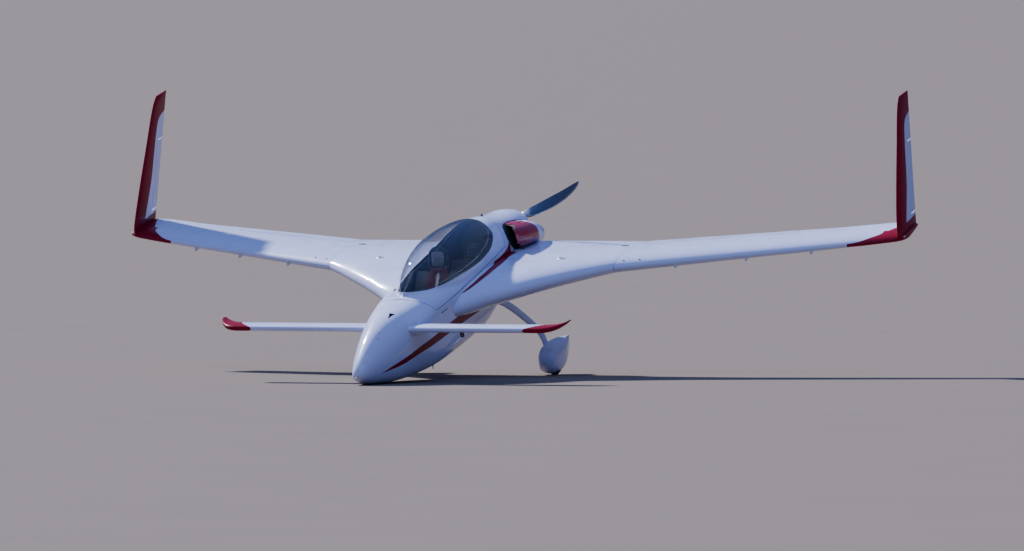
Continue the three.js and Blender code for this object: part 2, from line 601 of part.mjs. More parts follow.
// Landing brake: a belly panel hinged along its front edge
const BRAKE_THICK = 10;
const BRAKE_BAY = 15.5;
const bellyAt = (y) => column(FUSELAGE, 4, y);
const brakeStations = [0, 0.25, 0.5, 0.75, 1].map((share) => BRAKE.from + share * (BRAKE.to - BRAKE.from));
const above = (y, rise) => [y, bellyAt(y) + rise];
const brakeFloor = [
  ...brakeStations.map((y) => above(y, BRAKE_THICK)), [BRAKE.to, -200], [BRAKE.from, -200]];
const bayAft = BRAKE.to + RUNNING_GAP;
const brakeBayFloor = [
  above(BRAKE.from - 20, BRAKE_BAY), ...brakeStations.slice(1).map((y) => above(y, BRAKE_BAY)),
  above(bayAft, BRAKE_BAY), [bayAft, -200], [BRAKE.from - 20, -200]];
const brakeHinge = [BRAKE.from + 4, bellyAt(BRAKE.from) + 12];
function brakeBar(half, radius, sides = 12) {
  return bar([-half, ...brakeHinge], [half, ...brakeHinge], radius, sides);
}
const brakePanel = skin.intersect(sideCut(brakeFloor, -BRAKE.half, BRAKE.half))
  .add(brakeBar(BRAKE.half, BRAKE.knuckle)).add(brakeBar(BRAKE.half + 22, PIN.radius));
const brakeBay = sideCut(brakeBayFloor, -BRAKE.half - RUNNING_GAP, BRAKE.half + RUNNING_GAP)
  .add(brakeBar(BRAKE.half + RUNNING_GAP, BRAKE.relief, 24)).add(brakeBar(BRAKE.half + 24, PIN.hole, 24));
const beamHalf = BRAKE.half + 40;
const brakeBeam = box(-beamHalf, beamHalf, BRAKE.from - 30, BRAKE.from + 50, -120, brakeHinge[1] + 26)
  .intersect(skin);
place('landing_brake', brakePanel, 'white');

// Fuselage shell, hollow behind the nose, and the canopy over it
const cabin = fuselageBody(CABIN_FRONT, FIREWALL + 20, WALL);
const shellZone = box(-600, 600, -500, FIREWALL, -400, 1200);
const canopyZone = sideCut(CANOPY_SPLIT, -500, 500);
const canopyBay = sideCut(grow(CANOPY_SPLIT, RUNNING_GAP), -500, 500);
const windowZone = sideCut(WINDOW_OUTLINE, -500, 500);
const paneZone = sideCut(grow(WINDOW_OUTLINE, -GAP), -500, 500);
const wellWall = box(-NOSE_WELL_HALF - 12, NOSE_WELL_HALF + 12, NOSE_PIVOT.y - 70,
  NOSE_WHEEL.y + NOSE_WHEEL.radius + 26, -150, 120).intersect(skin);
const shell = [canopyBay, noseWell, brakeBay, canardHole, legBow(GAP)].reduce(
  (sum, cut) => sum.subtract(cut), skin.intersect(shellZone).subtract(cabin).add(wellWall).add(brakeBeam));
const framed = skin.intersect(canopyZone).subtract(cabin).subtract(windowZone);
place('fuselage_shell', hinges.reduce((sum, h) => sum.subtract(h.relief).add(h.post), shell), 'white');
place('canopy_frame', hinges.reduce((sum, h) => sum.add(h.knuckle), framed), 'white');
const pane = skin.subtract(fuselageBody(CABIN_FRONT, FIREWALL, GLASS)).intersect(paneZone);
place('canopy_glass', pane, 'glass');

// Cabin fittings
const cabinFit = fuselageBody(CABIN_FRONT + 10, FIREWALL + 10, WALL + GAP);
const fitted = (shape) => shape.intersect(cabinFit);
// Seat outlines in side view, and the headrest with its roll hoop on the front one
const FRONT_SEAT = [[1180, -110], [1190, -22], [1470, -8], [1850, 585], [1850, 545], [1490, -50], [1490, -110]];
const REAR_SEAT = [[2180, -50], [2190, 40], [2420, 40], [2760, 470], [2760, 420], [2450, -10], [2440, -50]];
const HOOP = { y: 1846, half: 90, foot: 540, top: 800, tube: 11, steps: 10 };
const HEADREST = { y: 1812, deep: 44, half: 66, low: 610, high: 760 };
const hoopPoint = (share) => [
  -HOOP.half * Math.cos(Math.PI * share), HOOP.y, HOOP.top - HOOP.half * (1 - Math.sin(Math.PI * share))];
const hoopArch = Array.from({ length: HOOP.steps + 1 }, (_, i) => hoopPoint(i / HOOP.steps));
const hoopPoints = [[-HOOP.half, HOOP.y, HOOP.foot], ...hoopArch, [HOOP.half, HOOP.y, HOOP.foot]];
const hoop = loft(hoopPoints.map(([x, y, z], i) => {
  const before = hoopPoints[Math.max(0, i - 1)];
  const after = hoopPoints[Math.min(hoopPoints.length - 1, i + 1)];
  const length = Math.hypot(after[0] - before[0], after[2] - before[2]);
  const [nx, nz] = [(before[2] - after[2]) / length, (after[0] - before[0]) / length];
  return Array.from({ length: 8 }, (__, k) => {
    const t = (2 * Math.PI * k) / 8;
    const across = HOOP.tube * Math.sin(t);
    return new THREE.Vector3(x + nx * across, y + HOOP.tube * Math.cos(t), z + nz * across);
  });
}));
const headrestAft = HEADREST.y + HEADREST.deep;
const headrest = box(-HEADREST.half, HEADREST.half, HEADREST.y, headrestAft, HEADREST.low, HEADREST.high)
  .add(box(-HOOP.half, HOOP.half, HOOP.y - 8, HOOP.y + 8, HEADREST.low + 40, HEADREST.low + 70));
place('front_seat', fitted(sideCut(FRONT_SEAT, -225, 225).add(hoop).add(headrest)), 'cloth');
const rearRest = sideCut([[2722, 440], [2722, 610], [2762, 628], [2790, 460]], -70, 70);
place('rear_seat', fitted(sideCut(REAR_SEAT, -220, 220).add(rearRest)), 'cloth');
const PANEL = { from: 1180, to: 1192, low: 150, seam: 442, high: 520 };
const panelZone = (low, high) => box(-300, 300, PANEL.from, PANEL.to, low, high);
const underCanopy = fuselageBody(CABIN_FRONT + 10, FIREWALL + 10, WALL + RUNNING_GAP);
place('instrument_panel', fitted(panelZone(PANEL.low, PANEL.seam))
  .add(panelZone(PANEL.low, PANEL.high).intersect(underCanopy)), 'dark');
place('firewall', fitted(box(-300, 300, FIREWALL - FIREWALL_THICK, FIREWALL, -200, 1000)), 'metal');
const CONSOLE = { inner: 228, from: 1200, to: 2150, low: 120, high: 200 };
const stick = bar([-252, 1400, CONSOLE.high - 5], [-246, 1386, CONSOLE.high + 115], 9)
  .add(bar([-248, 1391, CONSOLE.high + 60], [-246, 1386, CONSOLE.high + 125], 15));
const throttle = box(240, 262, 1330, 1420, CONSOLE.high - 5, CONSOLE.high + 22)
  .add(bar([251, 1372, CONSOLE.high + 10], [251, 1360, CONSOLE.high + 70], 4))
  .add(bar([238, 1360, CONSOLE.high + 70], [264, 1360, CONSOLE.high + 70], 10));
for (const [name, side] of SIDES) {
  const shelf = box(side * CONSOLE.inner, side * 300, CONSOLE.from, CONSOLE.to, CONSOLE.low, CONSOLE.high);
  place(`console_${name}`, fitted(shelf.add(side > 0 ? throttle : stick)), 'dark');
}

// Cowl, cheeks, engine and exhaust
const cowlZone = (low, high) => box(-600, 600, FIREWALL + GAP, COWL_AFT + 10, low, high);
const cowlHollow = fuselageBody(FIREWALL - 10, COWL_AFT, COWL_WALL).add(
  fuselageBody(COWL_AFT - 40, COWL_AFT, COWL_WALL).translate([0, 20, 0]));
const ENGINE = { front: FIREWALL + 60, aft: 3650, half: 120, low: 440, high: 636 };
const CYLINDERS = { front: 3230, aft: 3450, half: 350, low: 500, high: 612 };
const [bayFront, bayBack] = [CYLINDERS.front - 30, CYLINDERS.aft + 30];
const cylinderBay = box(-400, 400, bayFront, bayBack, CYLINDERS.low - 12, CYLINDERS.high + 12);
const cowl = skin.subtract(cowlHollow).subtract(cylinderBay);
place('cowl_upper', cowl.intersect(cowlZone(COWL_SPLIT + GAP, 1000)), 'white');
place('cowl_lower', cowl.intersect(cowlZone(-100, COWL_SPLIT)), 'white');
for (const [name, side] of SIDES) {
  const cheek = cheekBody(side, 0).subtract(cheekBody(side, COWL_WALL)).subtract(skinClear)
    .subtract(wingBody(thicker(STRAKE, GAP), side));
  place(`cowl_cheek_${name}`, cheek.intersect(box(side * 150, side * 600, 2900, 3800, 300, 900)), 'maroon');
}
const mount = [[1, 1], [1, -1], [-1, 1], [-1, -1]].map(([sx, sz]) => bar(
  [sx * 110, FIREWALL - 10, 550 + sz * 80], [sx * 90, ENGINE.front + 10, 550 + sz * 60], 12))
  .map((tube) => tube.subtract(box(-200, 200, FIREWALL - 50, FIREWALL + GAP, 400, 700)));
const engineCase = box(-ENGINE.half, ENGINE.half, ENGINE.front, ENGINE.aft, ENGINE.low, ENGINE.high);
const engine = [
  box(-CYLINDERS.half, CYLINDERS.half, CYLINDERS.front, CYLINDERS.aft, CYLINDERS.low, CYLINDERS.high), ...mount,
].reduce((sum, piece) => sum.add(piece), engineCase);
place('engine_block', engine, 'dark');
for (const [name, side] of SIDES) {
  const pipe = bar([side * 72, 3560, ENGINE.low - GAP], [side * 72, 3610, 392], 20)
    .add(bar([side * 72, 3600, 396], [side * 72, 3768, 392], 20));
  place(`exhaust_${name}`, pipe.subtract(box(-400, 400, 3400, 3800, ENGINE.low - GAP, 900)), 'metal');
}

// Propeller: two scimitar blades on an extension, under a small spinner
function bladeRing([r, chord, thick, angle, sweep]) {
  const beta = THREE.MathUtils.degToRad(angle);
  return sectionOutline(chord, thick).map(([u, h]) => {
    const along = u - chord / 2 + sweep;
    const [s, c] = [Math.sin(beta), Math.cos(beta)];
    return new THREE.Vector3(r, along * s + h * c, along * c - h * s);
  });
}
const blade = loft(BLADE.map(bladeRing));
const hubDisc = bar([0, -32, 0], [0, 32, 0], PROP.hub, 24);
const blades = hubDisc.add(blade).add(blade.rotate([0, 180, 0]))
  .rotate([0, -THREE.MathUtils.radToDeg(PROP.angle), 0]);
place('propeller', blades, 'blade', [0, PROP.y, PROP.z]);
place('prop_extension', bar([0, ENGINE.aft + GAP, PROP.z], [0, PROP.y - 32 - GAP, PROP.z], 48, 24), 'metal');
const spinnerPoints = [[0, 32.3], [72, 32.3], [66, 70], [46, 108], [20, 132], [0, 138]];
const spinner = new THREE.LatheGeometry(spinnerPoints.map(([r, y]) => new THREE.Vector2(r, y)), 24);
place('spinner', solid(spinner), 'white', [0, PROP.y, PROP.z]);

// Nose bumper: a rubber pad that the parked nose rests on, its underside level with the ground
const BUMPER = { front: -190, aft: 70, half: 48 };
const ground = (y) => (-parkedRise - y * Math.sin(PARK_PITCH)) / Math.cos(PARK_PITCH);
const bumperOutline = [
  [BUMPER.front, ground(BUMPER.front)], [BUMPER.aft, ground(BUMPER.aft)],
  [BUMPER.aft, ground(BUMPER.aft) + 60], [BUMPER.front, ground(BUMPER.front) + 60]];
place('nose_bumper', sideCut(bumperOutline, -BUMPER.half, BUMPER.half).subtract(skinClear), 'rubber');

// Antenna on the turtle deck and pitot tube on the nose
const deckTop = column(FUSELAGE, 3, 3020);
const antennaOutline = [
  [2990, deckTop - 10], [3060, deckTop - 20], [3050, deckTop + 22], [3025, deckTop + 22]];
place('antenna', sideCut(antennaOutline, -4, 4).subtract(skinClear), 'dark');
const bellyMast = bar([170, 1040, bellyAt(1040) + 30], [170, 1046, bellyAt(1040) - 40], 4);
place('belly_antenna', bellyMast.subtract(skinClear), 'dark');
place('pitot_tube', bar([0, NOSE_TIP - 40, 150], [0, NOSE_TIP + 40, 150], 6).subtract(skinClear), 'metal');

export default root;
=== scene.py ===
"""Two-seat canard homebuilt aircraft, parked on its nose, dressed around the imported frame.

Sizes are level airframe millimetres: X to port, Y aft (stations), Z up (waterlines). The stance
turns them into the frame's metres, nose-down as the aircraft parks.
"""
from __future__ import annotations

import json
import logging
import math
from collections.abc import Callable, Sequence
from dataclasses import dataclass
from enum import Enum

import bpy
import numpy as np
from mathutils import Matrix, Vector
from mathutils.bvhtree import BVHTree
from mathutils.geometry import barycentric_transform

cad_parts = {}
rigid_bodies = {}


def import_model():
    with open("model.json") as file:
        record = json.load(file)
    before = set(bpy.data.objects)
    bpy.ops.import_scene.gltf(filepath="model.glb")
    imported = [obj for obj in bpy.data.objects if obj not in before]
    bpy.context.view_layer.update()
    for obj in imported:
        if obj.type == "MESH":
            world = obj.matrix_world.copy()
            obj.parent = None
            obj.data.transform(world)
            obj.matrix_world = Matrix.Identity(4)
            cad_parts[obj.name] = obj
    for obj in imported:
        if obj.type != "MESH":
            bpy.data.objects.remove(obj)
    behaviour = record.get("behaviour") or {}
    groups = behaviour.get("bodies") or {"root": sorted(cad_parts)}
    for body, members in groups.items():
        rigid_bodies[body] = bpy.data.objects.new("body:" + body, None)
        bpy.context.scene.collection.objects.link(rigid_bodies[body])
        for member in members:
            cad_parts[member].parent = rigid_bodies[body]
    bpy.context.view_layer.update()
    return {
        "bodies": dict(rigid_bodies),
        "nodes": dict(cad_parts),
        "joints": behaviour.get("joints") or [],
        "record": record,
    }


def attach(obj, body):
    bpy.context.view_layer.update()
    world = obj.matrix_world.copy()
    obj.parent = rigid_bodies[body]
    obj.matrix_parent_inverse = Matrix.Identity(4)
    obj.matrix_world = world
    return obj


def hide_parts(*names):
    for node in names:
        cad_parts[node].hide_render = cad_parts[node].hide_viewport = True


log = logging.getLogger("aircraft")
SIDES = (("left", 1), ("right", -1))
Rows = tuple[tuple[float, ...], ...]
Pair = tuple[float, float]
Triple = tuple[float, float, float]


class Body(Enum):
    """The bodies of the frame that a piece can ride on."""

    AIRFRAME = "airframe"
    CANOPY = "canopy"
    PROPELLER = "propeller"
    WHEEL_LEFT = "wheel_left"
    WHEEL_RIGHT = "wheel_right"
    NOSE_WHEEL = "nose_wheel"
    ELEVATORS = "elevators"
    AILERON_LEFT = "aileron_left"
    AILERON_RIGHT = "aileron_right"
    RUDDER_LEFT = "rudder_left"
    RUDDER_RIGHT = "rudder_right"
    LANDING_BRAKE = "landing_brake"


class Axis(Enum):
    """A direction that an outline is drawn across."""

    X = 0
    Y = 1
    Z = 2


@dataclass(frozen=True)
class Stance:
    """How the level airframe stands on its nose and main wheels."""

    pitch: float
    aft: float
    rise: float

    @classmethod
    def of_frame(cls, joints: list[dict], hub: Triple) -> Stance:
        """Reads the parked attitude from the frame's own joints.

        Args:
            joints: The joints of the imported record.
            hub: The level place of the port main wheel's hub.

        Returns:
            The pitch in radians and the shift in millimetres.
        """
        found = {joint["name"]: joint for joint in joints}
        axis = found["propeller_spin"]["axis"]
        pitch = math.atan2(axis[2], axis[1])
        place = [1000 * value for value in found["main_wheel_left_spin"]["pos_m"]]
        c, s = math.cos(pitch), math.sin(pitch)
        return cls(pitch, place[1] - hub[1] * c + hub[2] * s, place[2] - hub[1] * s - hub[2] * c)

    def metres(self, points: np.ndarray) -> np.ndarray:
        """Turns level millimetres, one row a point, into the frame's metres."""
        c, s = math.cos(self.pitch), math.sin(self.pitch)
        x, y, z = np.asarray(points, float).T
        return np.column_stack((x, y * c - z * s + self.aft, y * s + z * c + self.rise)) / 1000

    def ground(self, y: float) -> float:
        """Level height of the ground under a station."""
        return (-self.rise - y * math.sin(self.pitch)) / math.cos(self.pitch)


class Curves:
    """Smooth curves through the columns of a table whose first column rises."""

    def __init__(self, rows: Rows) -> None:
        """Finds the slopes at each row, flat at a turning point.

        Args:
            rows: The table, its first column the place and the rest the values there.
        """
        table = np.array(rows, float)
        self.places, self.values = table[:, 0], table[:, 1:]
        step = np.diff(self.places)[:, None]
        slope = np.diff(self.values, axis=0) / step
        before, after = slope[:-1], slope[1:]
        product, total = before * after, before + after
        inner = np.where(product > 0, 2 * product / np.where(total == 0, 1, total), 0)
        self.tangents = np.vstack((slope[:1], inner, slope[-1:]))

    def at(self, place: float) -> np.ndarray:
        """The values at a place, held at the ends of the table.

        Args:
            place: Where to read them.

        Returns:
            One value for each column.
        """
        here = min(max(place, self.places[0]), self.places[-1])
        i = int(np.clip(np.searchsorted(self.places, here, side="right") - 1, 0, len(self.places) - 2))
        h = self.places[i + 1] - self.places[i]
        t = (here - self.places[i]) / h
        return (
            (2 * t**3 - 3 * t**2 + 1) * self.values[i]
            + (t**3 - 2 * t**2 + t) * h * self.tangents[i]
            + (-2 * t**3 + 3 * t**2) * self.values[i + 1]
            + (t**3 - t**2) * h * self.tangents[i + 1]
        )

    def steps(self, step: float, start: float | None = None, end: float | None = None) -> np.ndarray:
        """Places that take in each row between two ends.

        Args:
            step: How far apart they are at most.
            start: The first one, the table's own where None.
            end: The last one, the table's own where None.

        Returns:
            The places, rising.
        """
        start = self.places[0] if start is None else start
        end = self.places[-1] if end is None else end
        knots = [start, *(p for p in self.places if start + 4 < p < end - 4), end]
        runs = [np.linspace(a, b, max(1, math.ceil((b - a) / step)), endpoint=False)
                for a, b in zip(knots, knots[1:])]
        return np.append(np.concatenate(runs), end)


def spline(rows: Rows, steps: int) -> np.ndarray:
    """Rows joined by a smooth curve that passes through each of them.

    Args:
        rows: Points of any number of columns.
        steps: Points that the curve has between two rows.

    Returns:
        One row a point.
    """
    table = np.array(rows, float)
    padded = np.vstack((2 * table[0] - table[1], table, 2 * table[-1] - table[-2]))
    out = []
    for a, b, c, d in zip(padded, padded[1:], padded[2:], padded[3:]):
        for t in np.arange(steps) / steps:
            out.append(0.5 * (2 * b + (c - a) * t + (2 * a - 5 * b + 4 * c - d) * t**2
                              + (3 * b - a - 3 * c + d) * t**3))
    return np.array([*out, table[-1]])


def evened(points: np.ndarray, count: int) -> np.ndarray:
    """A polyline drawn again with points an equal distance apart.

    Args:
        points: One row a point.
        count: How many steps the new line has.

    Returns:
        count + 1 points.
    """
    length = np.append(0, np.cumsum(np.linalg.norm(np.diff(points, axis=0), axis=1)))
    at = np.linspace(0, length[-1], count + 1)
    return np.column_stack([np.interp(at, length, column) for column in points.T])


def circle(count: int) -> tuple[np.ndarray, np.ndarray]:
    """Cosine and sine of even steps round a circle."""
    turn = np.linspace(0, 2 * math.pi, count, endpoint=False)
    return np.cos(turn), np.sin(turn)


def rounded_square(width: float, length: float, count: int) -> np.ndarray:
    """A flat square outline with soft corners."""
    c, s = circle(count)
    far = (np.abs(c) ** 6 + np.abs(s) ** 6) ** (-1 / 6)
    return np.column_stack((width / 2 * c * far, length / 2 * s * far))


def reach(c: np.ndarray, s: np.ndarray, half: float, rise: float, power: float) -> np.ndarray:
    """Distance from the middle of a rounded outline to its edge, along a direction."""
    wide, tall = max(half, 1.0), max(rise, 1.0)
    return ((np.abs(c) / wide) ** power + (np.abs(s) / tall) ** power) ** (-1 / power)


def rounded_ring(
    y: float, x: float, half: float, waist: float, top: float, bottom: float,
    upper: float = 2.0, lower: float = 2.0, count: int = 72,
) -> np.ndarray:
    """A rounded ring across the airframe.

    Args:
        y: Station.
        x: Butt line of its middle.
        half: Half width at the waist.
        waist: Height of the widest place.
        top: Highest point.
        bottom: Lowest point.
        upper: Roundness of the upper half, 2 for an ellipse.
        lower: Roundness of the lower half.
        count: Points of the ring, even.

    Returns:
        The points of the ring.
    """
    t = np.linspace(0, math.pi, 361)
    c, s = np.cos(t), np.sin(t)
    halves = []
    for rise, power, sign in ((top - waist, upper, 1), (waist - bottom, lower, -1)):
        r = reach(c, s, half, rise, power)
        line = evened(np.column_stack((r * c * sign, r * s * sign)), count // 2)
        halves.append(line[:-1])
    flat = np.vstack(halves)
    return np.column_stack((x + flat[:, 0], np.full(len(flat), y), waist + flat[:, 1]))


def section(chord: float, thick: float, steps: int = 30, blunt: float = 1.5) -> np.ndarray:
    """A closed wing section, its leading edge at the origin.

    Args:
        chord: Length of the section.
        thick: Greatest thickness.
        steps: Points from nose to tail on one side.
        blunt: Half thickness of the trailing edge.

    Returns:
        Chordwise place and height of each point.
    """
    x = (1 - np.cos(np.linspace(0, math.pi, steps + 1))) / 2
    half = 5 * (0.2969 * np.sqrt(x) - 0.126 * x - 0.3516 * x**2 + 0.2843 * x**3 - 0.1036 * x**4)
    upper = np.column_stack((x * chord, half * thick + blunt * x))
    return np.vstack((upper, upper[:0:-1] * (1, -1)))


def wing_ring(row: Sequence[float], side: int) -> np.ndarray:
    """A wing section standing across the span.

    Args:
        row: Butt line, leading edge and its height, trailing edge and its height, thickness.
        side: 1 for port, -1 for starboard.

    Returns:
        Its points, in place.
    """
    x, front, low, back, high, thick = row
    chord = math.hypot(back - front, high - low)
    c, s = (back - front) / chord, (high - low) / chord
    u, h = section(chord, thick).T
    return np.column_stack((np.full(len(u), side * x), front + u * c - h * s, low + u * s + h * c))


def grown(outline: Rows | np.ndarray, by: float) -> np.ndarray:
    """A flat outline with every edge moved outwards.

    Args:
        outline: Its corners, which may turn either way.
        by: How far the edges move, negative for inwards.

    Returns:
        As many corners, in the same order.
    """
    points = np.array(outline, float)
    ahead = np.roll(points, -1, axis=0)
    area = float(np.sum(points[:, 0] * ahead[:, 1] - ahead[:, 0] * points[:, 1]))
    edge = ahead - points
    length = np.linalg.norm(edge, axis=1) * math.copysign(1, area)
    normal = np.column_stack((edge[:, 1], -edge[:, 0])) / length[:, None]
    far = np.sum(normal * points, axis=1) + by
    before, last = np.roll(normal, 1, axis=0), np.roll(far, 1)
    det = before[:, 0] * normal[:, 1] - before[:, 1] * normal[:, 0]
    return np.column_stack((
        (last * normal[:, 1] - far * before[:, 1]) / det,
        (before[:, 0] * far - normal[:, 0] * last) / det,
    ))


@dataclass
class Form:
    """A closed mesh in level millimetres, its faces pointing out."""

    points: np.ndarray
    faces: list[tuple[int, ...]]

    def __post_init__(self) -> None:
        """Turns the faces round where they point inwards."""
        fans = np.array([(face[0], i, j) for face in self.faces for i, j in zip(face[1:], face[2:])])
        a, b, c = (self.points[fans[:, k]] for k in range(3))
        if np.einsum("ij,ij->", a, np.cross(b, c)) < 0:
            self.faces = [tuple(reversed(face)) for face in self.faces]

    @classmethod
    def loft(cls, rings: Sequence[np.ndarray], closed: bool = False,
             hubs: tuple | None = None) -> Form:
        """Joins rings of equal length by triangles, split along the shorter diagonal.

        Args:
            rings: The rings, each with one row a point.
            closed: Whether the last ring joins the first.
            hubs: The end points that the two end caps meet at; the rings' middles where None.

        Returns:
            The closed form.
        """
        count, size = len(rings), len(rings[0])
        points = np.vstack(rings)
        faces: list[tuple[int, ...]] = []
        here = np.arange(size)
        ahead = (here + 1) % size
        for k in range(count if closed else count - 1):
            a, b = k * size, (k + 1) % count * size
            corners = (a + here, a + ahead, b + ahead, b + here)
            gaps = [np.linalg.norm(points[corners[i]] - points[corners[i + 2]], axis=1) for i in (0, 1)]
            for p, q, r, t, turn in zip(*(corner.tolist() for corner in corners), gaps[1] < gaps[0]):
                faces += [(p, q, t), (q, r, t)] if turn else [(p, q, r), (p, r, t)]
        if not closed:
            ends = hubs or (rings[0].mean(0), rings[-1].mean(0))
            for start, hub, turn in ((0, ends[0], False), ((count - 1) * size, ends[1], True)):
                top = len(points)
                points = np.vstack((points, hub))
                for i in range(size):
                    a, b = start + i, start + (i + 1) % size
                    faces.append((top, a, b) if turn else (top, b, a))
        return cls(points, faces)

    @classmethod
    def slab(cls, outline: Rows | np.ndarray, axis: Axis, start: float, end: float,
             edge: float = 0.0, rounds: int = 1) -> Form:
        """A flat outline given a thickness.

        Args:
            outline: The outline in the two other axes, in their order.
            axis: The axis that the thickness runs along.
            start: Lower end along that axis.
            end: Upper end along that axis.
            edge: Width of the rounded edge.
            rounds: Steps of the rounding, 1 for a chamfer.

        Returns:
            The form.
        """
        flat = np.array(outline, float)
        size = len(flat)
        levels = [(start, 0.0), (end, 0.0)]
        if edge:
            turn = np.linspace(0, math.pi / 2, rounds + 1)
            low = [(start + edge * (1 - math.sin(t)), edge * (1 - math.cos(t))) for t in turn[::-1]]
            levels = [*low, *((start + end - at, inset) for at, inset in reversed(low))]
        rings = []
        for at, inset in levels:
            ring = grown(flat, -inset) if inset > 1e-9 else flat
            rings.append(np.insert(ring, axis.value, at, axis=1))
        last = (len(rings) - 1) * size
        faces = [(a + i, a + (i + 1) % size, a + size + (i + 1) % size, a + size + i)
                 for a in range(0, last, size) for i in range(size)]
        faces += [tuple(range(size))[::-1], tuple(range(last, last + size))]
        return cls(np.vstack(rings), faces)

    @classmethod
    def box(cls, low: Sequence[float], high: Sequence[float], edge: float = 0.0, rounds: int = 1) -> Form:
        """A block between two corners.

        Args:
            low: One corner.
            high: The opposite one.
            edge: Radius of all its edges, 0 for sharp ones.
            rounds: Steps round each edge.

        Returns:
            The block.
        """
        (x0, y0, z0), (x1, y1, z1) = np.minimum(low, high), np.maximum(low, high)
        corners = [(x0, y0), (x1, y0), (x1, y1), (x0, y1)]
        if edge:
            turn = np.linspace(0, math.pi / 2, rounds + 1)
            far, near = (x1 - edge, y1 - edge), (x0 + edge, y0 + edge)
            inner = (far, (near[0], far[1]), near, (far[0], near[1]))
            corners = [(x + edge * math.cos(t), y + edge * math.sin(t))
                       for quarter, (x, y) in enumerate(inner) for t in turn + quarter * math.pi / 2]
        return cls.slab(np.array(corners), Axis.Z, z0, z1, edge, rounds)

    @classmethod
    def rod(cls, path: Sequence[Sequence[float]], radius: float | Sequence[float], sides: int = 16,
            closed: bool = False) -> Form:
        """A round rod along a path.

        Args:
            path: The points of its middle line.
            radius: Its radius, one for all or one a point.
            sides: Points round it.
            closed: Whether its end joins its start.

        Returns:
            The form.
        """
        line = np.array(path, float)
        radii = np.broadcast_to(np.asarray(radius, float), (len(line),))
        if closed:
            along = np.roll(line, -1, axis=0) - np.roll(line, 1, axis=0)
        else:
            along = np.gradient(line, axis=0)
        along /= np.linalg.norm(along, axis=1)[:, None]
        start = np.eye(3)[int(np.argmin(np.abs(along[0])))]
        c, s = (part[:, None] for part in circle(sides))
        rings = []
        for point, tangent, r in zip(line, along, radii):
            start = start - tangent * np.dot(start, tangent)
            start /= np.linalg.norm(start)
            other = np.cross(tangent, start)
            rings.append(point + r * (c * start + s * other))
        return cls.loft(rings, closed)

    @classmethod
    def lathe(cls, profile: Rows, centre: Sequence[float], axis: Axis, sides: int = 48) -> Form:
        """A turned form.

        Args:
            profile: Radius and offset pairs; it closes on itself, or starts and ends at radius 0.
            centre: The point that the offsets are measured from.
            axis: The axis that it is turned about.
            sides: Points round it.

        Returns:
            The form.
        """
        c, s = circle(sides)
        across = [k for k in range(3) if k != axis.value]
        middle = np.array(centre, float)

        def ring(r: float, at: float) -> np.ndarray:
            """The circle of one profile point."""
            out = np.tile(middle, (sides, 1))
            out[:, across[0]] += r * c
            out[:, across[1]] += r * s
            out[:, axis.value] += at
            return out

        open_ends = profile[0][0] == 0
        inner = [ring(r, at) for r, at in profile if r > 0]
        hubs = tuple(middle + np.eye(3)[axis.value] * profile[k][1] for k in (0, -1)) if open_ends else None
        return cls.loft(inner, not open_ends, hubs)

    @classmethod
    def through(cls, outline: Rows | np.ndarray) -> Form:
        """A side view outline as a block that runs right through the fuselage."""
        return cls.slab(outline, Axis.X, -500, 500)

    @classmethod
    def bolts(cls, profile: Rows, centre: Sequence[float], axis: Axis, radius: float) -> list[Form]:
        """Six turned hexagons on a circle.

        Args:
            profile: Radius and offset pairs of one.
            centre: The middle of the circle.
            axis: The axis that they stand along.
            radius: Radius of the circle.

        Returns:
            The hexagons.
        """
        across = [k for k in range(3) if k != axis.value]
        out = []
        for k in range(6):
            t = math.pi * (k + 0.5) / 3
            place = np.array(centre, float)
            place[across] += radius * math.cos(t), radius * math.sin(t)
            out.append(cls.lathe(profile, place, axis, 6))
        return out

    @classmethod
    def gathered(cls, forms: Sequence[Form]) -> Form:
        """Several forms as one."""
        offset, points, faces = 0, [], []
        for form in forms:
            points.append(form.points)
            faces += [tuple(i + offset for i in face) for face in form.faces]
            offset += len(form.points)
        return cls(np.vstack(points), faces)

    def moved(self, by: Sequence[float]) -> Form:
        """The form shifted."""
        return Form(self.points + np.array(by, float), list(self.faces))

    def mirrored(self) -> Form:
        """The form on the other side of the middle plane."""
        return Form(self.points * (-1, 1, 1), list(self.faces))

    def turned(self, degrees: float, axis: Axis, centre: Sequence[float] = (0, 0, 0)) -> Form:
        """The form turned about an axis through a point."""
        matrix = np.array(Matrix.Rotation(math.radians(degrees), 3, axis.name))
        middle = np.array(centre, float)
        return Form((self.points - middle) @ matrix.T + middle, list(self.faces))

    def both(self) -> Form:
        """The form and its mirror image."""
        return Form.gathered((self, self.mirrored()))


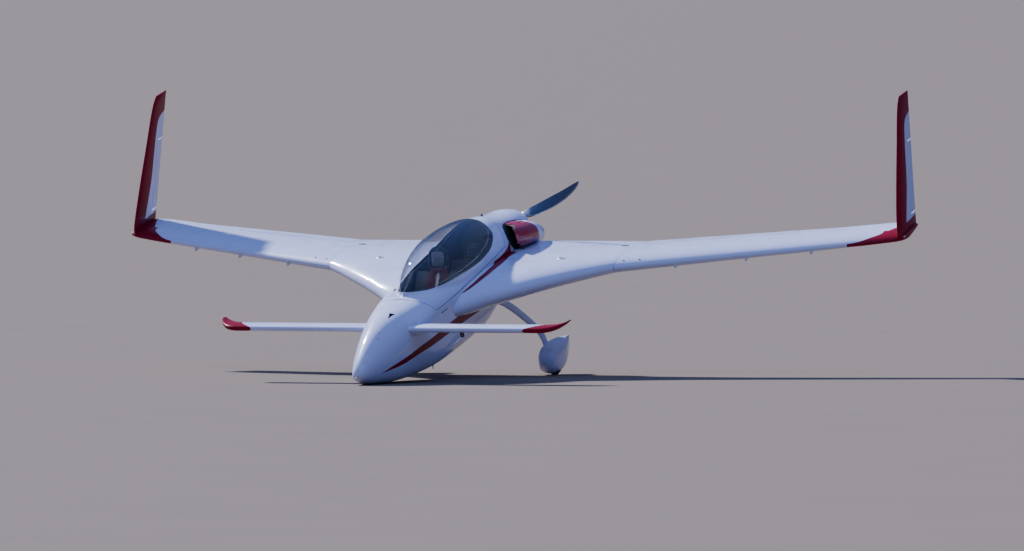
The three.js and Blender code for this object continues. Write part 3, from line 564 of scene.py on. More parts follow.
class Solid:
    """A solid in the making, which others are cut from, kept inside or joined to."""

    def __init__(self, form: Form, stance: Stance) -> None:
        """Puts the form into the scene for as long as it is worked on."""
        self.stance = stance
        self.object = bpy.data.objects.new("solid", mesh_of(form, stance))
        bpy.context.scene.collection.objects.link(self.object)
        self.tools: list[Solid] = []

    def _combined(self, operation: str, shapes: Sequence[Form | Solid]) -> Solid:
        """Queues one boolean for each shape."""
        for shape in shapes:
            tool = shape if isinstance(shape, Solid) else Solid(shape, self.stance)
            step = self.object.modifiers.new(operation, "BOOLEAN")
            step.operation, step.solver, step.object = operation, "MANIFOLD", tool.object
            self.tools.append(tool)
        return self

    def cut(self, *shapes: Form | Solid) -> Solid:
        """Takes shapes away."""
        return self._combined("DIFFERENCE", shapes)

    def keep(self, *shapes: Form | Solid) -> Solid:
        """Keeps only what lies in each of the shapes."""
        return self._combined("INTERSECT", shapes)

    def add(self, *shapes: Form | Solid) -> Solid:
        """Joins shapes on."""
        return self._combined("UNION", shapes)

    def result(self) -> bpy.types.Mesh:
        """The finished mesh; the working objects are cleared away."""
        graph = bpy.context.evaluated_depsgraph_get()
        mesh = bpy.data.meshes.new_from_object(self.object.evaluated_get(graph), depsgraph=graph)
        self.clear()
        return mesh

    def clear(self) -> None:
        """Removes the working objects and their meshes."""
        for tool in self.tools:
            if tool.object is not None:
                tool.clear()
        mesh = self.object.data
        bpy.data.objects.remove(self.object)
        bpy.data.meshes.remove(mesh)
        self.object = None


def mesh_of(form: Form, stance: Stance) -> bpy.types.Mesh:
    """A form as a mesh in the frame's metres."""
    mesh = bpy.data.meshes.new("form")
    mesh.from_pydata(stance.metres(form.points).tolist(), [], form.faces)
    mesh.update()
    return mesh


class Shading:
    """Gives a cut mesh the smooth shading of the surfaces that it was cut from."""

    REACH = 0.0008
    ALIGNED = 0.6
    INWARDS = 0.02

    def __init__(self, skin: Form, slot: int, stance: Stance) -> None:
        """Prepares one surface for looking up its normals.

        Args:
            skin: The uncut surface.
            slot: Material slot of what lies on it.
            stance: Turns it into metres.
        """
        self.slot = slot
        mesh = mesh_of(skin, stance)
        smooth(mesh)
        mesh.calc_loop_triangles()
        normals = [Vector(corner.vector) for corner in mesh.corner_normals]
        points = [vertex.co.copy() for vertex in mesh.vertices]
        self.corners = [tuple(points[v] for v in tri.vertices) for tri in mesh.loop_triangles]
        self.normals = [tuple(normals[k] for k in tri.loops) for tri in mesh.loop_triangles]
        self.tree = BVHTree.FromPolygons(points, [tuple(tri.vertices) for tri in mesh.loop_triangles])
        bpy.data.meshes.remove(mesh)

    def side(self, centre: Vector, normal: Vector) -> float:
        """1 or -1 where a face lies on the surface or faces the other way, and 0 where it is off it."""
        _, facing, index, _ = self.tree.find_nearest(centre, self.REACH)
        if index is None or abs(facing.dot(normal)) < self.ALIGNED:
            return 0.0
        return math.copysign(1, facing.dot(normal))

    def normal(self, point: Vector) -> Vector | None:
        """The smooth normal of the surface next to a point."""
        place, _, index, _ = self.tree.find_nearest(point, 4 * self.REACH)
        if index is None:
            return None
        return barycentric_transform(place, *self.corners[index], *self.normals[index]).normalized()


def smooth(mesh: bpy.types.Mesh) -> None:
    """Shades a mesh smooth, except across its creases."""
    mesh.shade_smooth()
    mesh.set_sharp_from_angle(angle=math.radians(35))


def shade(mesh: bpy.types.Mesh, skins: Sequence[Form], stance: Stance, slots: int) -> None:
    """Shades a mesh smooth, and from its skins where it lies on one.

    Args:
        mesh: The mesh, in metres.
        skins: The surfaces that it was cut from, in the order of the material slots.
        stance: Turns the surfaces into metres.
        slots: How many material slots it has; the last one is for the faces that lie on no skin.
    """
    smooth(mesh)
    if not skins:
        return
    guides = [Shading(skin, min(k, slots - 1), stance) for k, skin in enumerate(skins)]
    normals = [Vector(corner.vector) for corner in mesh.corner_normals]
    points = [vertex.co.copy() for vertex in mesh.vertices]
    chosen = []
    for face in mesh.polygons:
        centre, facing = face.center.copy(), face.normal.copy()
        slot = slots - 1
        for guide in guides:
            side = guide.side(centre, facing)
            if side:
                slot = guide.slot
                for corner, vertex in zip(face.loop_indices, face.vertices):
                    found = guide.normal(points[vertex].lerp(centre, Shading.INWARDS))
                    if found is not None:
                        normals[corner] = found * side
                break
        chosen.append(slot)
    mesh.polygons.foreach_set("material_index", chosen)
    mesh.normals_split_custom_set(normals)


Socket = bpy.types.NodeSocket
Value = float | tuple | Socket


class Board:
    """Places shader nodes in one tree and joins them."""

    def __init__(self, tree: bpy.types.NodeTree) -> None:
        """Starts with an empty tree."""
        self.tree = tree
        tree.nodes.clear()

    def put(self, socket: Socket, value: Value) -> None:
        """Joins a socket to another, or sets it."""
        if isinstance(value, bpy.types.NodeSocket):
            self.tree.links.new(value, socket)
        else:
            socket.default_value = value

    def node(self, kind: str, settings: dict | None = None, **inputs: Value) -> bpy.types.Node:
        """Places a node.

        Args:
            kind: Its type, without the words that all shader nodes share.
            settings: Its own options.
            **inputs: Its sockets by name, spaces written as underscores, or by number as i0, i1.

        Returns:
            The node.
        """
        made = self.tree.nodes.new("ShaderNode" + kind)
        for name, value in (settings or {}).items():
            setattr(made, name, value)
        for name, value in inputs.items():
            numbered = name[0] == "i" and name[1:].isdigit()
            self.put(made.inputs[int(name[1:]) if numbered else name.replace("_", " ")], value)
        return made

    def sum(self, operation: str, a: Value, b: Value = 0.0, c: Value = 0.0) -> Socket:
        """The result of a Math node."""
        return self.node("Math", {"operation": operation}, i0=a, i1=b, i2=c).outputs[0]

    def step(self, value: Value, low: float, high: float) -> Socket:
        """0 below low, 1 above high, and smooth between them."""
        made = self.node("MapRange", {"interpolation_type": "SMOOTHSTEP"}, i0=value, i1=low, i2=high)
        return made.outputs[0]

    def remap(self, value: Value, low: float, high: float, start: float, end: float) -> Socket:
        """A value stretched from one range to another and kept inside it."""
        return self.node("MapRange", i0=value, i1=low, i2=high, i3=start, i4=end).outputs[0]

    def both(self, *masks: Value) -> Socket:
        """Where all of the masks are."""
        out = masks[0]
        for mask in masks[1:]:
            out = self.sum("MULTIPLY", out, mask)
        return out

    def either(self, *masks: Value) -> Socket:
        """Where any of the masks is."""
        out = masks[0]
        for mask in masks[1:]:
            out = self.sum("MAXIMUM", out, mask)
        return out

    def blend(self, mask: Value, a: Value, b: Value) -> Socket:
        """One colour turning into another."""
        return self.node("Mix", {"data_type": "RGBA"}, i0=mask, i6=a, i7=b).outputs[2]

    def place(self) -> Socket:
        """Where the surface is, at rest, in the frame's metres."""
        return self.node("TexCoord").outputs["Object"]

    def level(self, stance: Stance) -> tuple[Socket, Socket, Socket]:
        """Where the surface is, at rest, as butt line, station and waterline in level millimetres.

        Args:
            stance: The parked attitude.

        Returns:
            The three sockets, the butt line without its sign.
        """
        shift = (0.0, stance.aft / 1000, stance.rise / 1000)
        turned = self.node("VectorRotate", {"rotation_type": "X_AXIS"}, Vector=self.place(),
                           Center=shift, Angle=-stance.pitch).outputs[0]
        scaled = self.node("VectorMath", {"operation": "MULTIPLY_ADD"}, i0=turned, i1=(1000.0,) * 3,
                           i2=(0.0, -stance.aft, -stance.rise)).outputs[0]
        parts = self.node("SeparateXYZ", i0=scaled).outputs
        return self.sum("ABSOLUTE", parts[0]), parts[1], parts[2]

    def curve(self, value: Value, points: Rows) -> Socket:
        """A line drawn through points, read at a value.

        Args:
            value: The place to read.
            points: Place and height pairs.

        Returns:
            The height there.
        """
        table = np.array(points, float)
        low, high = table.min(0), table.max(0)
        at = self.remap(value, low[0], high[0], 0.0, 1.0)
        made = self.node("FloatCurve", Value=at)
        line = made.mapping.curves[0]
        flat = (table - low) / (high - low)
        for point, target in zip((line.points[0], line.points[1]), (flat[0], flat[-1])):
            point.location = target
        for inner in flat[1:-1]:
            line.points.new(*inner)
        for point in line.points:
            point.handle_type = "AUTO_CLAMPED"
        made.mapping.update()
        return self.remap(made.outputs[0], 0.0, 1.0, low[1], high[1])

    def noise(
        self, scale: float, detail: float = 2.0, rough: float = 0.5, at: Socket | None = None,
    ) -> Socket:
        """A soft random pattern fixed to the piece."""
        place = at or self.place()
        return self.node("TexNoise", Scale=scale, Detail=detail, Roughness=rough, Vector=place).outputs[0]

    def bump(self, height: Value, distance: float, strength: float = 1.0) -> Socket:
        """The normal of a surface raised by a height."""
        return self.node("Bump", Height=height, Distance=distance, Strength=strength).outputs[0]

    def varied(self, low: float, high: float, scale: float, detail: float = 2.0) -> Socket:
        """A value that drifts between two others over the surface."""
        return self.remap(self.noise(scale, detail), 0.3, 0.7, low, high)

    def shader(self, **inputs: Value) -> Socket:
        """The output of a Principled shader."""
        return self.node("BsdfPrincipled", **inputs).outputs[0]

    def effect(self, tree: bpy.types.NodeTree, **inputs: Value) -> dict[str, Socket]:
        """Places a shared effect and gives its outputs by name."""
        made = self.node("Group", {"node_tree": tree}, **inputs)
        return {socket.name: socket for socket in made.outputs}


Draw = Callable[[Board, dict[str, Socket]], dict[str, Socket]]


def shared_effect(
    name: str, inputs: dict[str, float], outputs: dict[str, str], draw: Draw,
) -> bpy.types.NodeTree:
    """Makes an effect that several materials use, or finds the one made before.

    Args:
        name: Its name.
        inputs: Its settings and their usual values.
        outputs: Its results and their kinds, Float, Color or Vector.
        draw: Places its nodes on a board and gives the socket of each result.

    Returns:
        The node group.
    """
    found = bpy.data.node_groups.get(name)
    if found:
        return found
    tree = bpy.data.node_groups.new(name, "ShaderNodeTree")
    for label, usual in inputs.items():
        made = tree.interface.new_socket(name=label, in_out="INPUT", socket_type="NodeSocketFloat")
        made.default_value = usual
    for label, kind in outputs.items():
        tree.interface.new_socket(name=label, in_out="OUTPUT", socket_type="NodeSocket" + kind)
    board = Board(tree)
    given = {socket.name: socket for socket in tree.nodes.new("NodeGroupInput").outputs if socket.name}
    end = tree.nodes.new("NodeGroupOutput")
    for label, socket in draw(board, given).items():
        board.put(end.inputs[label], socket)
    return tree


@dataclass(frozen=True)
class Trim:
    """Where the maroon trim lies on the white airframe: outlines in level millimetres."""

    low_upper: Rows = (
        (-144, 117), (-13, 136), (162, 154), (347, 172), (542, 196), (752, 212), (977, 229), (1127, 241),
        (1384, 248), (1570, 251), (1754, 246), (2100, 232), (2500, 200), (2900, 152))
    low_lower: Rows = (
        (-144, 117), (6, 115), (162, 112), (340, 121), (534, 133), (740, 140), (963, 148), (1109, 153),
        (1551, 161), (1957, 157), (2500, 149), (2900, 151))
    high_upper: Rows = (
        (1545, 400), (2201, 458), (2400, 478), (2554, 495), (2825, 513), (2940, 545), (3000, 600))
    on_strake: Rows = (
        (1560, 296), (1601, 322), (1784, 360), (1962, 378), (2161, 387), (2446, 380), (2707, 352),
        (2960, 318), (3060, 280))
    off_strake: Rows = (
        (1560, 304), (1720, 320), (1878, 330), (2100, 330), (2201, 326), (2400, 312), (2554, 280))
    # Course of the painted highlight line along the nose crease.
    crease: Rows = ((-60, 138), (23, 167), (169, 223), (324, 267), (491, 318), (560, 336))
    wing_tip: Rows = (
        (3380, 3585), (3448, 3622), (3504, 3665), (3561, 3729), (3630, 3824), (3683, 3950),
        (3740, 4120), (3800, 4330))
    canard_tip: Rows = ((1318, 380), (1373, 414), (1423, 463), (1465, 535), (1498, 632), (1520, 730))
    winglet: Rows = (
        (380, 3892), (600, 4015), (873, 4165), (1100, 4245), (1300, 4322), (1380, 4368), (1420, 4440),
        (1446, 4640))
    body_half: float = 345.0
    low_reach: Pair = (-144.0, 2900.0)
    high_reach: Pair = (1545.0, 2990.0)
    high_from: float = 392.0
    strake_reach: Pair = (1560.0, 3060.0)
    strake_heights: Pair = (385.0, 500.0)
    wing_from: float = 3380.0
    wing_below: float = 520.0
    canard_from: float = 1318.0
    canard_until: float = 800.0
    winglet_from: Pair = (3640.0, 440.0)
    winglet_cap: float = 1446.0
    crease_reach: Pair = (-60.0, 560.0)
    crease_edge: Pair = (4.2, 2.2)
    soft: float = 0.7

    def draw(self, board: Board, stance: Stance) -> dict[str, Socket]:
        """Places the nodes of the trim.

        Args:
            board: Where the nodes go.
            stance: The parked attitude.

        Returns:
            The masks of the maroon paint and of the painted highlight line along the nose crease.
        """
        x, y, z = board.level(stance)

        def over(value: Value, edge: Value) -> Socket:
            """1 where a value is past an edge."""
            return board.step(board.sum("SUBTRACT", value, edge), -self.soft, self.soft)

        def within(value: Value, ends: Pair) -> Socket:
            """1 where a value is between two ends."""
            return board.both(over(value, ends[0]), over(ends[1], value))

        on_body = over(self.body_half, x)
        low = board.both(
            on_body, within(y, self.low_reach), over(board.curve(y, self.low_upper), z),
            over(z, board.curve(y, self.low_lower)))
        high = board.both(
            on_body, within(y, self.high_reach), over(z, self.high_from),
            over(board.curve(y, self.high_upper), z))
        strake = board.both(
            over(board.curve(y, self.on_strake), x), over(x, board.curve(y, self.off_strake)),
            within(y, self.strake_reach), within(z, self.strake_heights))
        wing = board.both(
            over(x, self.wing_from), over(board.curve(x, self.wing_tip), y), over(self.wing_below, z))
        canard = board.both(
            over(x, self.canard_from), over(board.curve(x, self.canard_tip), y), over(self.canard_until, y))
        winglet = board.both(
            over(x, self.winglet_from[0]), over(z, self.winglet_from[1]),
            board.either(over(board.curve(z, self.winglet), y), over(z, self.winglet_cap)))
        # A pale line along the nose crease: a painted highlight where the crease catches the light.
        away = board.sum("ABSOLUTE", board.sum("SUBTRACT", z, board.curve(y, self.crease)))
        crease = board.both(on_body, within(y, self.crease_reach), board.step(away, *self.crease_edge), 0.9)
        return {"Maroon": board.either(low, high, strake, wing, canard, winglet), "Crease": crease}


def paint_skin() -> bpy.types.NodeTree:
    """The fine relief, dust and grime of hand-finished gloss paint."""

    def draw(board: Board, given: dict[str, Socket]) -> dict[str, Socket]:
        """Places the nodes of the paint skin."""
        peel = board.noise(170.0, 2.0)
        waves = board.noise(2.2, 2.0)
        height = board.sum("MULTIPLY_ADD", waves, 6.0, board.sum("MULTIPLY", peel, 0.05))
        up = board.node("SeparateXYZ", i0=board.node("NewGeometry").outputs["Normal"]).outputs[2]
        streaks = board.noise(5.0, 6.0, 0.65)
        dust = board.both(board.step(up, 0.1, 0.9), board.step(streaks, 0.35, 0.75), given["Dust"])
        low = board.step(board.node("SeparateXYZ", i0=board.place()).outputs[2], 0.45, 0.02)
        grime = board.both(low, board.step(board.noise(9.0, 8.0, 0.7), 0.42, 0.72), given["Dust"])
        clean = board.varied(0.975, 1.0, 1.3, 4.0)
        tone = board.sum("MULTIPLY", clean, board.remap(grime, 0.0, 1.0, 1.0, 0.84))
        rough = board.sum("ADD", board.sum("MULTIPLY", dust, 0.16), board.sum("MULTIPLY", grime, 0.25))
        return {"Tone": tone, "Haze": rough, "Normal": board.bump(height, 0.001, 0.35)}

    results = {"Tone": "Float", "Haze": "Float", "Normal": "Vector"}
    return shared_effect("paint skin", {"Dust": 1.0}, results, draw)


def edge_wear() -> bpy.types.NodeTree:
    """Bare or rubbed edges, broken up by noise."""

    def draw(board: Board, given: dict[str, Socket]) -> dict[str, Socket]:
        """Places the nodes of the wear."""
        point = board.node("NewGeometry").outputs["Pointiness"]
        broken = board.sum("MULTIPLY_ADD", board.noise(60.0, 4.0), 0.06, point)
        scuffs = board.step(board.noise(24.0, 9.0, 0.75), 0.62, 0.72)
        rubbed = board.either(board.step(broken, 0.545, 0.585), board.sum("MULTIPLY", scuffs, 0.35))
        return {"Edge": board.sum("MULTIPLY", rubbed, given["Amount"]), "Scuffs": scuffs}

    return shared_effect("edge wear", {"Amount": 1.0}, {"Edge": "Float", "Scuffs": "Float"}, draw)


def brushed() -> bpy.types.NodeTree:
    """Fine machining lines and handling marks on bare metal."""

    def draw(board: Board, given: dict[str, Socket]) -> dict[str, Socket]:
        """Places the nodes of the lines."""
        stretch = board.node("Mapping", Vector=board.place(), Scale=(30.0, 400.0, 400.0)).outputs[0]
        lines = board.noise(3.0, 3.0, 0.6, stretch)
        marks = board.noise(35.0, 5.0, 0.7)
        rough = board.sum("MULTIPLY_ADD", marks, 0.22, given["Rough"])
        return {
            "Roughness": board.sum("ADD", rough, -0.08), "Tone": board.remap(marks, 0.3, 0.7, 0.86, 1.0),
            "Normal": board.bump(lines, 0.0002, 0.5)}

    results = {"Roughness": "Float", "Tone": "Float", "Normal": "Vector"}
    return shared_effect("brushed", {"Rough": 0.3}, results, draw)


def weave() -> bpy.types.NodeTree:
    """A plain weave: over and under threads, their relief and the shade between them."""

    def draw(board: Board, given: dict[str, Socket]) -> dict[str, Socket]:
        """Places the nodes of the weave."""
        parts = board.node("SeparateXYZ", i0=board.place()).outputs
        across = board.sum("MULTIPLY", parts[0], given["Threads"])
        along = board.sum("MULTIPLY", board.sum("ADD", parts[1], parts[2]), given["Threads"])
        warp, weft = board.sum("SINE", across), board.sum("SINE", along)
        side = board.step(board.sum("MULTIPLY", warp, weft), -0.2, 0.2)
        under = board.sum("MULTIPLY", board.sum("SUBTRACT", 1.0, side), board.sum("ABSOLUTE", weft))
        height = board.sum("MULTIPLY_ADD", side, board.sum("ABSOLUTE", warp), under)
        fluffy = board.sum("MULTIPLY_ADD", board.noise(900.0, 3.0), 0.3, height)
        return {"Height": fluffy, "Shade": board.remap(height, 0.1, 0.8, 0.0, 1.0)}

    return shared_effect("weave", {"Threads": 3600.0}, {"Height": "Float", "Shade": "Float"}, draw)


Colour = tuple[float, float, float, float]
# The white paint is tinted lavender-blue: painted skylight, the blue that the sky lends to its shaded faces.
SKY_TINTED_WHITE: Colour = (0.66, 0.71, 0.96, 1.0)
PAINT_ROUGH = 0.26
PAINT_COAT_ROUGH = 0.05
ACRYLIC_IOR = 1.49


def scaled(colour: Colour, by: float, plus: float = 0.0) -> Colour:
    """A colour made darker or lighter."""
    return tuple(min(1.0, by * value + plus) for value in colour[:3]) + (1.0,)


class Finish:
    """A finish of the aircraft: makes its material once and names the record's slot that it belongs to."""

    slot = "white_gloss"
    made: dict[Finish, bpy.types.Material] = {}

    def draw(self, board: Board, stance: Stance) -> Socket:
        """Places the shader of the finish and gives its output."""
        raise NotImplementedError

    def material(self, stance: Stance) -> bpy.types.Material:
        """The material of the finish."""
        if self not in Finish.made:
            made = bpy.data.materials.new(type(self).__name__)
            made.use_nodes = True
            board = Board(made.node_tree)
            board.node("OutputMaterial", Surface=self.draw(board, stance))
            Finish.made[self] = made
        return Finish.made[self]


@dataclass(frozen=True)
class GlossPaint(Finish):
    """White two-part gloss paint, tinted blue as painted skylight, with the maroon trim where the airframe
    has it and a painted highlight line along the nose crease.
    """

    slot = "white_gloss"
    white: Colour = SKY_TINTED_WHITE
    # Colour of the painted highlight along the nose crease.
    seam: Colour = (1.0, 1.0, 1.0, 1.0)
    maroon: Colour = (0.24, 0.004, 0.022, 1.0)
    dust: float = 1.0
    trimmed: bool = True

    def draw(self, board: Board, stance: Stance) -> Socket:
        """Places the shader of the paint."""
        skin = board.effect(paint_skin(), Dust=self.dust)
        colour: Value = self.white
        coat = board.sum("SUBTRACT", 0.7, skin["Haze"])
        if self.trimmed:
            kinds = {"Maroon": "Float", "Crease": "Float"}
            masks = board.effect(
                shared_effect("maroon trim", {}, kinds, lambda inner, _: Trim().draw(inner, stance)))
            # Painted highlight: the nose crease line is blended towards the pale colour.
            line = board.blend(masks["Crease"], self.white, self.seam)
            colour = board.blend(masks["Maroon"], line, self.maroon)
            coat = board.sum("MULTIPLY", coat, board.remap(masks["Maroon"], 0.0, 1.0, 1.0, 0.15))
        tone = board.node("CombineColor", i0=skin["Tone"], i1=skin["Tone"], i2=skin["Tone"]).outputs[0]
        toned = board.node("Mix", {"data_type": "RGBA", "blend_type": "MULTIPLY"}, i0=1.0, i6=colour, i7=tone)
        return board.shader(
            Base_Color=toned.outputs[2], Roughness=board.sum("ADD", PAINT_ROUGH, skin["Haze"]),
            Coat_Weight=coat, Coat_Roughness=PAINT_COAT_ROUGH, Specular_IOR_Level=0.04,
            Normal=skin["Normal"])


@dataclass(frozen=True)
class MaroonPaint(Finish):
    """Dark maroon gloss paint, white past a slanted line where the piece has a white lip."""

    slot = "maroon_gloss"
    maroon: Colour = (0.30, 0.005, 0.035, 1.0)
    white: Colour = SKY_TINTED_WHITE
    until: float = 3445.0
    slant: float = 0.5
    middle: float = 560.0

    def draw(self, board: Board, stance: Stance) -> Socket:
        """Places the shader of the paint."""
        _, y, z = board.level(stance)
        skin = board.effect(paint_skin(), Dust=0.6)
        edge = board.sum("MULTIPLY_ADD", z, self.slant, y)
        line = self.until + self.slant * self.middle
        lip = board.step(edge, line - 1, line + 1)
        return board.shader(
            Base_Color=board.blend(lip, self.maroon, self.white),
            Roughness=board.sum("ADD", PAINT_ROUGH, skin["Haze"]), Coat_Weight=0.4,
            Coat_Roughness=PAINT_COAT_ROUGH, Specular_IOR_Level=0.3, Normal=skin["Normal"])


@dataclass(frozen=True)
class TintedAcrylic(Finish):
    """Grey-tinted clear acrylic."""

    slot = "canopy_glass"
    tint: Colour = (0.91, 0.92, 0.93, 1.0)
    shadow: Colour = (0.17, 0.18, 0.21, 1.0)

    def draw(self, board: Board, stance: Stance) -> Socket:
        """Places the glass, which lets plain light through its shadow."""
        smears = board.step(board.noise(7.0, 6.0, 0.7), 0.45, 0.8)
        glass = board.shader(
            Base_Color=self.tint, Roughness=board.sum("MULTIPLY", smears, 0.015), IOR=ACRYLIC_IOR,
            Transmission_Weight=1.0, Specular_IOR_Level=0.3)
        shadow = board.node("BsdfTransparent", Color=self.shadow).outputs[0]
        ray = board.node("LightPath").outputs["Is Shadow Ray"]
        return board.node("MixShader", i0=ray, i1=glass, i2=shadow).outputs[0]


@dataclass(frozen=True)
class ClearLens(Finish):
    """A small clear lens."""

    slot = "canopy_glass"
    colour: Colour = (0.9, 0.92, 0.95, 1.0)

    def draw(self, board: Board, stance: Stance) -> Socket:
        """Places the glass of the lens."""
        return board.shader(
            Base_Color=self.colour, Roughness=0.06, IOR=ACRYLIC_IOR, Transmission_Weight=0.6, Coat_Weight=0.6,
            Normal=board.bump(board.noise(220.0), 0.0004, 0.3))


@dataclass(frozen=True)
class Rubber(Finish):
    """Black rubber, dusty grey where it is scuffed."""

    slot = "tyre"
    black: Colour = (0.022, 0.022, 0.024, 1.0)
    dusty: Colour = (0.11, 0.10, 0.095, 1.0)

    def draw(self, board: Board, stance: Stance) -> Socket:
        """Places the shader of the rubber."""
        wear = board.effect(edge_wear(), Amount=0.8)
        grain = board.noise(420.0, 3.0)
        dust = board.both(board.step(board.noise(18.0, 7.0, 0.7), 0.4, 0.75), 0.7)
        return board.shader(
            Base_Color=board.blend(board.either(wear["Edge"], dust), self.black, self.dusty),
            Roughness=board.remap(grain, 0.3, 0.7, 0.62, 0.86), Normal=board.bump(grain, 0.0003, 0.5))


@dataclass(frozen=True)
class BumperRubber(Rubber):
    """The hard rubber of the nose bumper."""

    slot = "bumper_rubber"


@dataclass(frozen=True)
class BareMetal(Finish):
    """Machined aluminium, worn bright at its edges."""

    slot = "bare_aluminium"
    colour: Colour = (0.58, 0.60, 0.62, 1.0)
    rough: float = 0.3

    def draw(self, board: Board, stance: Stance) -> Socket:
        """Places the shader of the metal."""
        lines = board.effect(brushed(), Rough=self.rough)
        wear = board.effect(edge_wear(), Amount=1.0)
        colour = board.blend(lines["Tone"], scaled(self.colour, 0.7), self.colour)
        return board.shader(
            Base_Color=board.blend(wear["Edge"], colour, (0.80, 0.81, 0.82, 1.0)), Metallic=1.0,
            Roughness=lines["Roughness"], Normal=lines["Normal"])


@dataclass(frozen=True)
class Steel(BareMetal):
    """Plated steel of bolts, axles and the nose gear."""

    slot = "steel"
    colour: Colour = (0.42, 0.43, 0.45, 1.0)
    rough: float = 0.34


@dataclass(frozen=True)
class HeatedSteel(Finish):
    """Exhaust pipe steel, straw and blue from its heat and sooty at its end."""

    slot = "exhaust_steel"
    heated: Pair = (3560.0, 3790.0)
    soot_from: float = 3715.0
    tints: tuple[tuple[float, Colour], ...] = (
        (0.3, (0.42, 0.30, 0.16, 1.0)), (0.55, (0.20, 0.14, 0.20, 1.0)), (0.7, (0.13, 0.17, 0.27, 1.0)))

    def draw(self, board: Board, stance: Stance) -> Socket:
        """Places the shader of the pipe."""
        _, y, _ = board.level(stance)
        bands = board.sum("MULTIPLY_ADD", board.noise(14.0, 3.0), 60.0, y)
        ramp = board.node("ValToRGB", i0=board.remap(bands, *self.heated, 0.0, 1.0))
        stops = ramp.color_ramp.elements
        stops[0].color, stops[1].color = (0.46, 0.42, 0.38, 1), (0.22, 0.20, 0.21, 1)
        for at, tint in self.tints:
            stops.new(at).color = tint
        soot = board.step(bands, self.soot_from, self.soot_from + 60)
        rough = board.sum("MULTIPLY_ADD", soot, 0.35, board.varied(0.26, 0.46, 40.0, 5.0))
        return board.shader(
            Base_Color=board.blend(soot, ramp.outputs[0], (0.03, 0.028, 0.027, 1.0)),
            Metallic=board.sum("SUBTRACT", 1.0, board.sum("MULTIPLY", soot, 0.8)), Roughness=rough,
            Normal=board.bump(board.noise(120.0), 0.0004, 0.3))


@dataclass(frozen=True)
class BladeFinish(Finish):
    """Dark polished propeller blades, pale near the root, partly bare polished metal and partly a painted
    glint, and pale where their edges are worn.
    """

    slot = "propeller_dark"
    dark: Colour = (0.16, 0.21, 0.28, 1.0)
    # Pale colour of the worn edges and of the painted glint at the root.
    bare: Colour = (0.72, 0.70, 0.68, 1.0)
    bare_until: float = 205.0
    soft: float = 25.0

    def draw(self, board: Board, stance: Stance) -> Socket:
        """Places the shader of the blades."""
        centre = tuple(stance.metres(np.array([Propeller.hub]))[0])
        distance = board.node("VectorMath", {"operation": "DISTANCE"}, i0=board.place(), i1=centre)
        # Near the hub the blades turn pale: partly a bare polished root and partly a painted glint.
        root = board.step(distance.outputs["Value"], (self.bare_until + self.soft) / 1000,
                          (self.bare_until - self.soft) / 1000)
        streaks = board.effect(brushed(), Rough=0.2)
        nicks = board.effect(edge_wear(), Amount=0.8)
        return board.shader(
            Base_Color=board.blend(board.either(root, nicks["Edge"]), self.dark, self.bare), Metallic=0.85,
            Roughness=board.sum("MULTIPLY", streaks["Roughness"], 0.8), Coat_Weight=0.7, Coat_Roughness=0.06,
            Normal=streaks["Normal"])


@dataclass(frozen=True)
class Casting(Finish):
    """Grey cast metal of the engine, with dark oily patches."""

    slot = "engine_dark"
    colour: Colour = (0.16, 0.16, 0.165, 1.0)

    def draw(self, board: Board, stance: Stance) -> Socket:
        """Places the shader of the casting."""
        grain = board.noise(260.0, 4.0, 0.7)
        oil = board.step(board.noise(12.0, 6.0, 0.7), 0.5, 0.75)
        wear = board.effect(edge_wear(), Amount=0.6)
        dark = board.blend(oil, self.colour, (0.045, 0.038, 0.03, 1.0))
        return board.shader(
            Base_Color=board.blend(wear["Edge"], dark, (0.4, 0.4, 0.4, 1.0)), Metallic=0.6,
            Roughness=board.remap(oil, 0.0, 1.0, 0.55, 0.3), Normal=board.bump(grain, 0.0006, 0.6))


@dataclass(frozen=True)
class Cloth(Finish):
    """Woven seat cloth with worn, paler patches and painted shade between the threads, which leaves their
    crowns lighter.
    """

    slot = "seat_cloth"
    colour: Colour = (0.115, 0.105, 0.12, 1.0)
    pale: Colour = (0.20, 0.185, 0.20, 1.0)
    threads: float = 3600.0

    def draw(self, board: Board, stance: Stance) -> Socket:
        """Places the shader of the cloth."""
        cloth = board.effect(weave(), Threads=self.threads)
        worn = board.blend(board.step(board.noise(6.0, 5.0, 0.6), 0.4, 0.7), self.colour, self.pale)
        # Painted shade: the cloth is darker between the threads, in the hollows of the weave.
        return board.shader(
            Base_Color=board.blend(cloth["Shade"], scaled(self.colour, 0.45), worn), Roughness=0.88,
            Sheen_Weight=0.35, Sheen_Roughness=0.5, Normal=board.bump(cloth["Height"], 0.0006, 0.7))


@dataclass(frozen=True)
class CabinTrim(Finish):
    """Matt dark plastic and paint of the cabin, panel and small fittings."""

    slot = "dark_trim"
    colour: Colour = (0.028, 0.028, 0.032, 1.0)
    rough: float = 0.6

    def draw(self, board: Board, stance: Stance) -> Socket:
        """Places the shader of the trim."""
        grain = board.node("TexVoronoi", Scale=900.0, Vector=board.place()).outputs["Distance"]
        wear = board.effect(edge_wear(), Amount=0.7)
        return board.shader(
            Base_Color=board.blend(wear["Edge"], self.colour, scaled(self.colour, 3, 0.04)),
            Roughness=board.varied(self.rough - 0.07, self.rough + 0.1, 15.0, 4.0),
            Normal=board.bump(grain, 0.0003, 0.4))


@dataclass(frozen=True)
class StudioFloor(Finish):
    """Plain pale floor."""

    colour: Colour = (0.200, 0.163, 0.137, 1.0)

    def draw(self, board: Board, stance: Stance) -> Socket:
        """Places the shader of the floor."""
        tone = board.varied(0.0, 1.0, 0.6, 4.0)
        return board.shader(
            Base_Color=board.blend(tone, scaled(self.colour, 0.96), self.colour), Roughness=0.85,
            Specular_IOR_Level=0.05, Normal=board.bump(board.noise(60.0, 5.0), 0.001, 0.1))


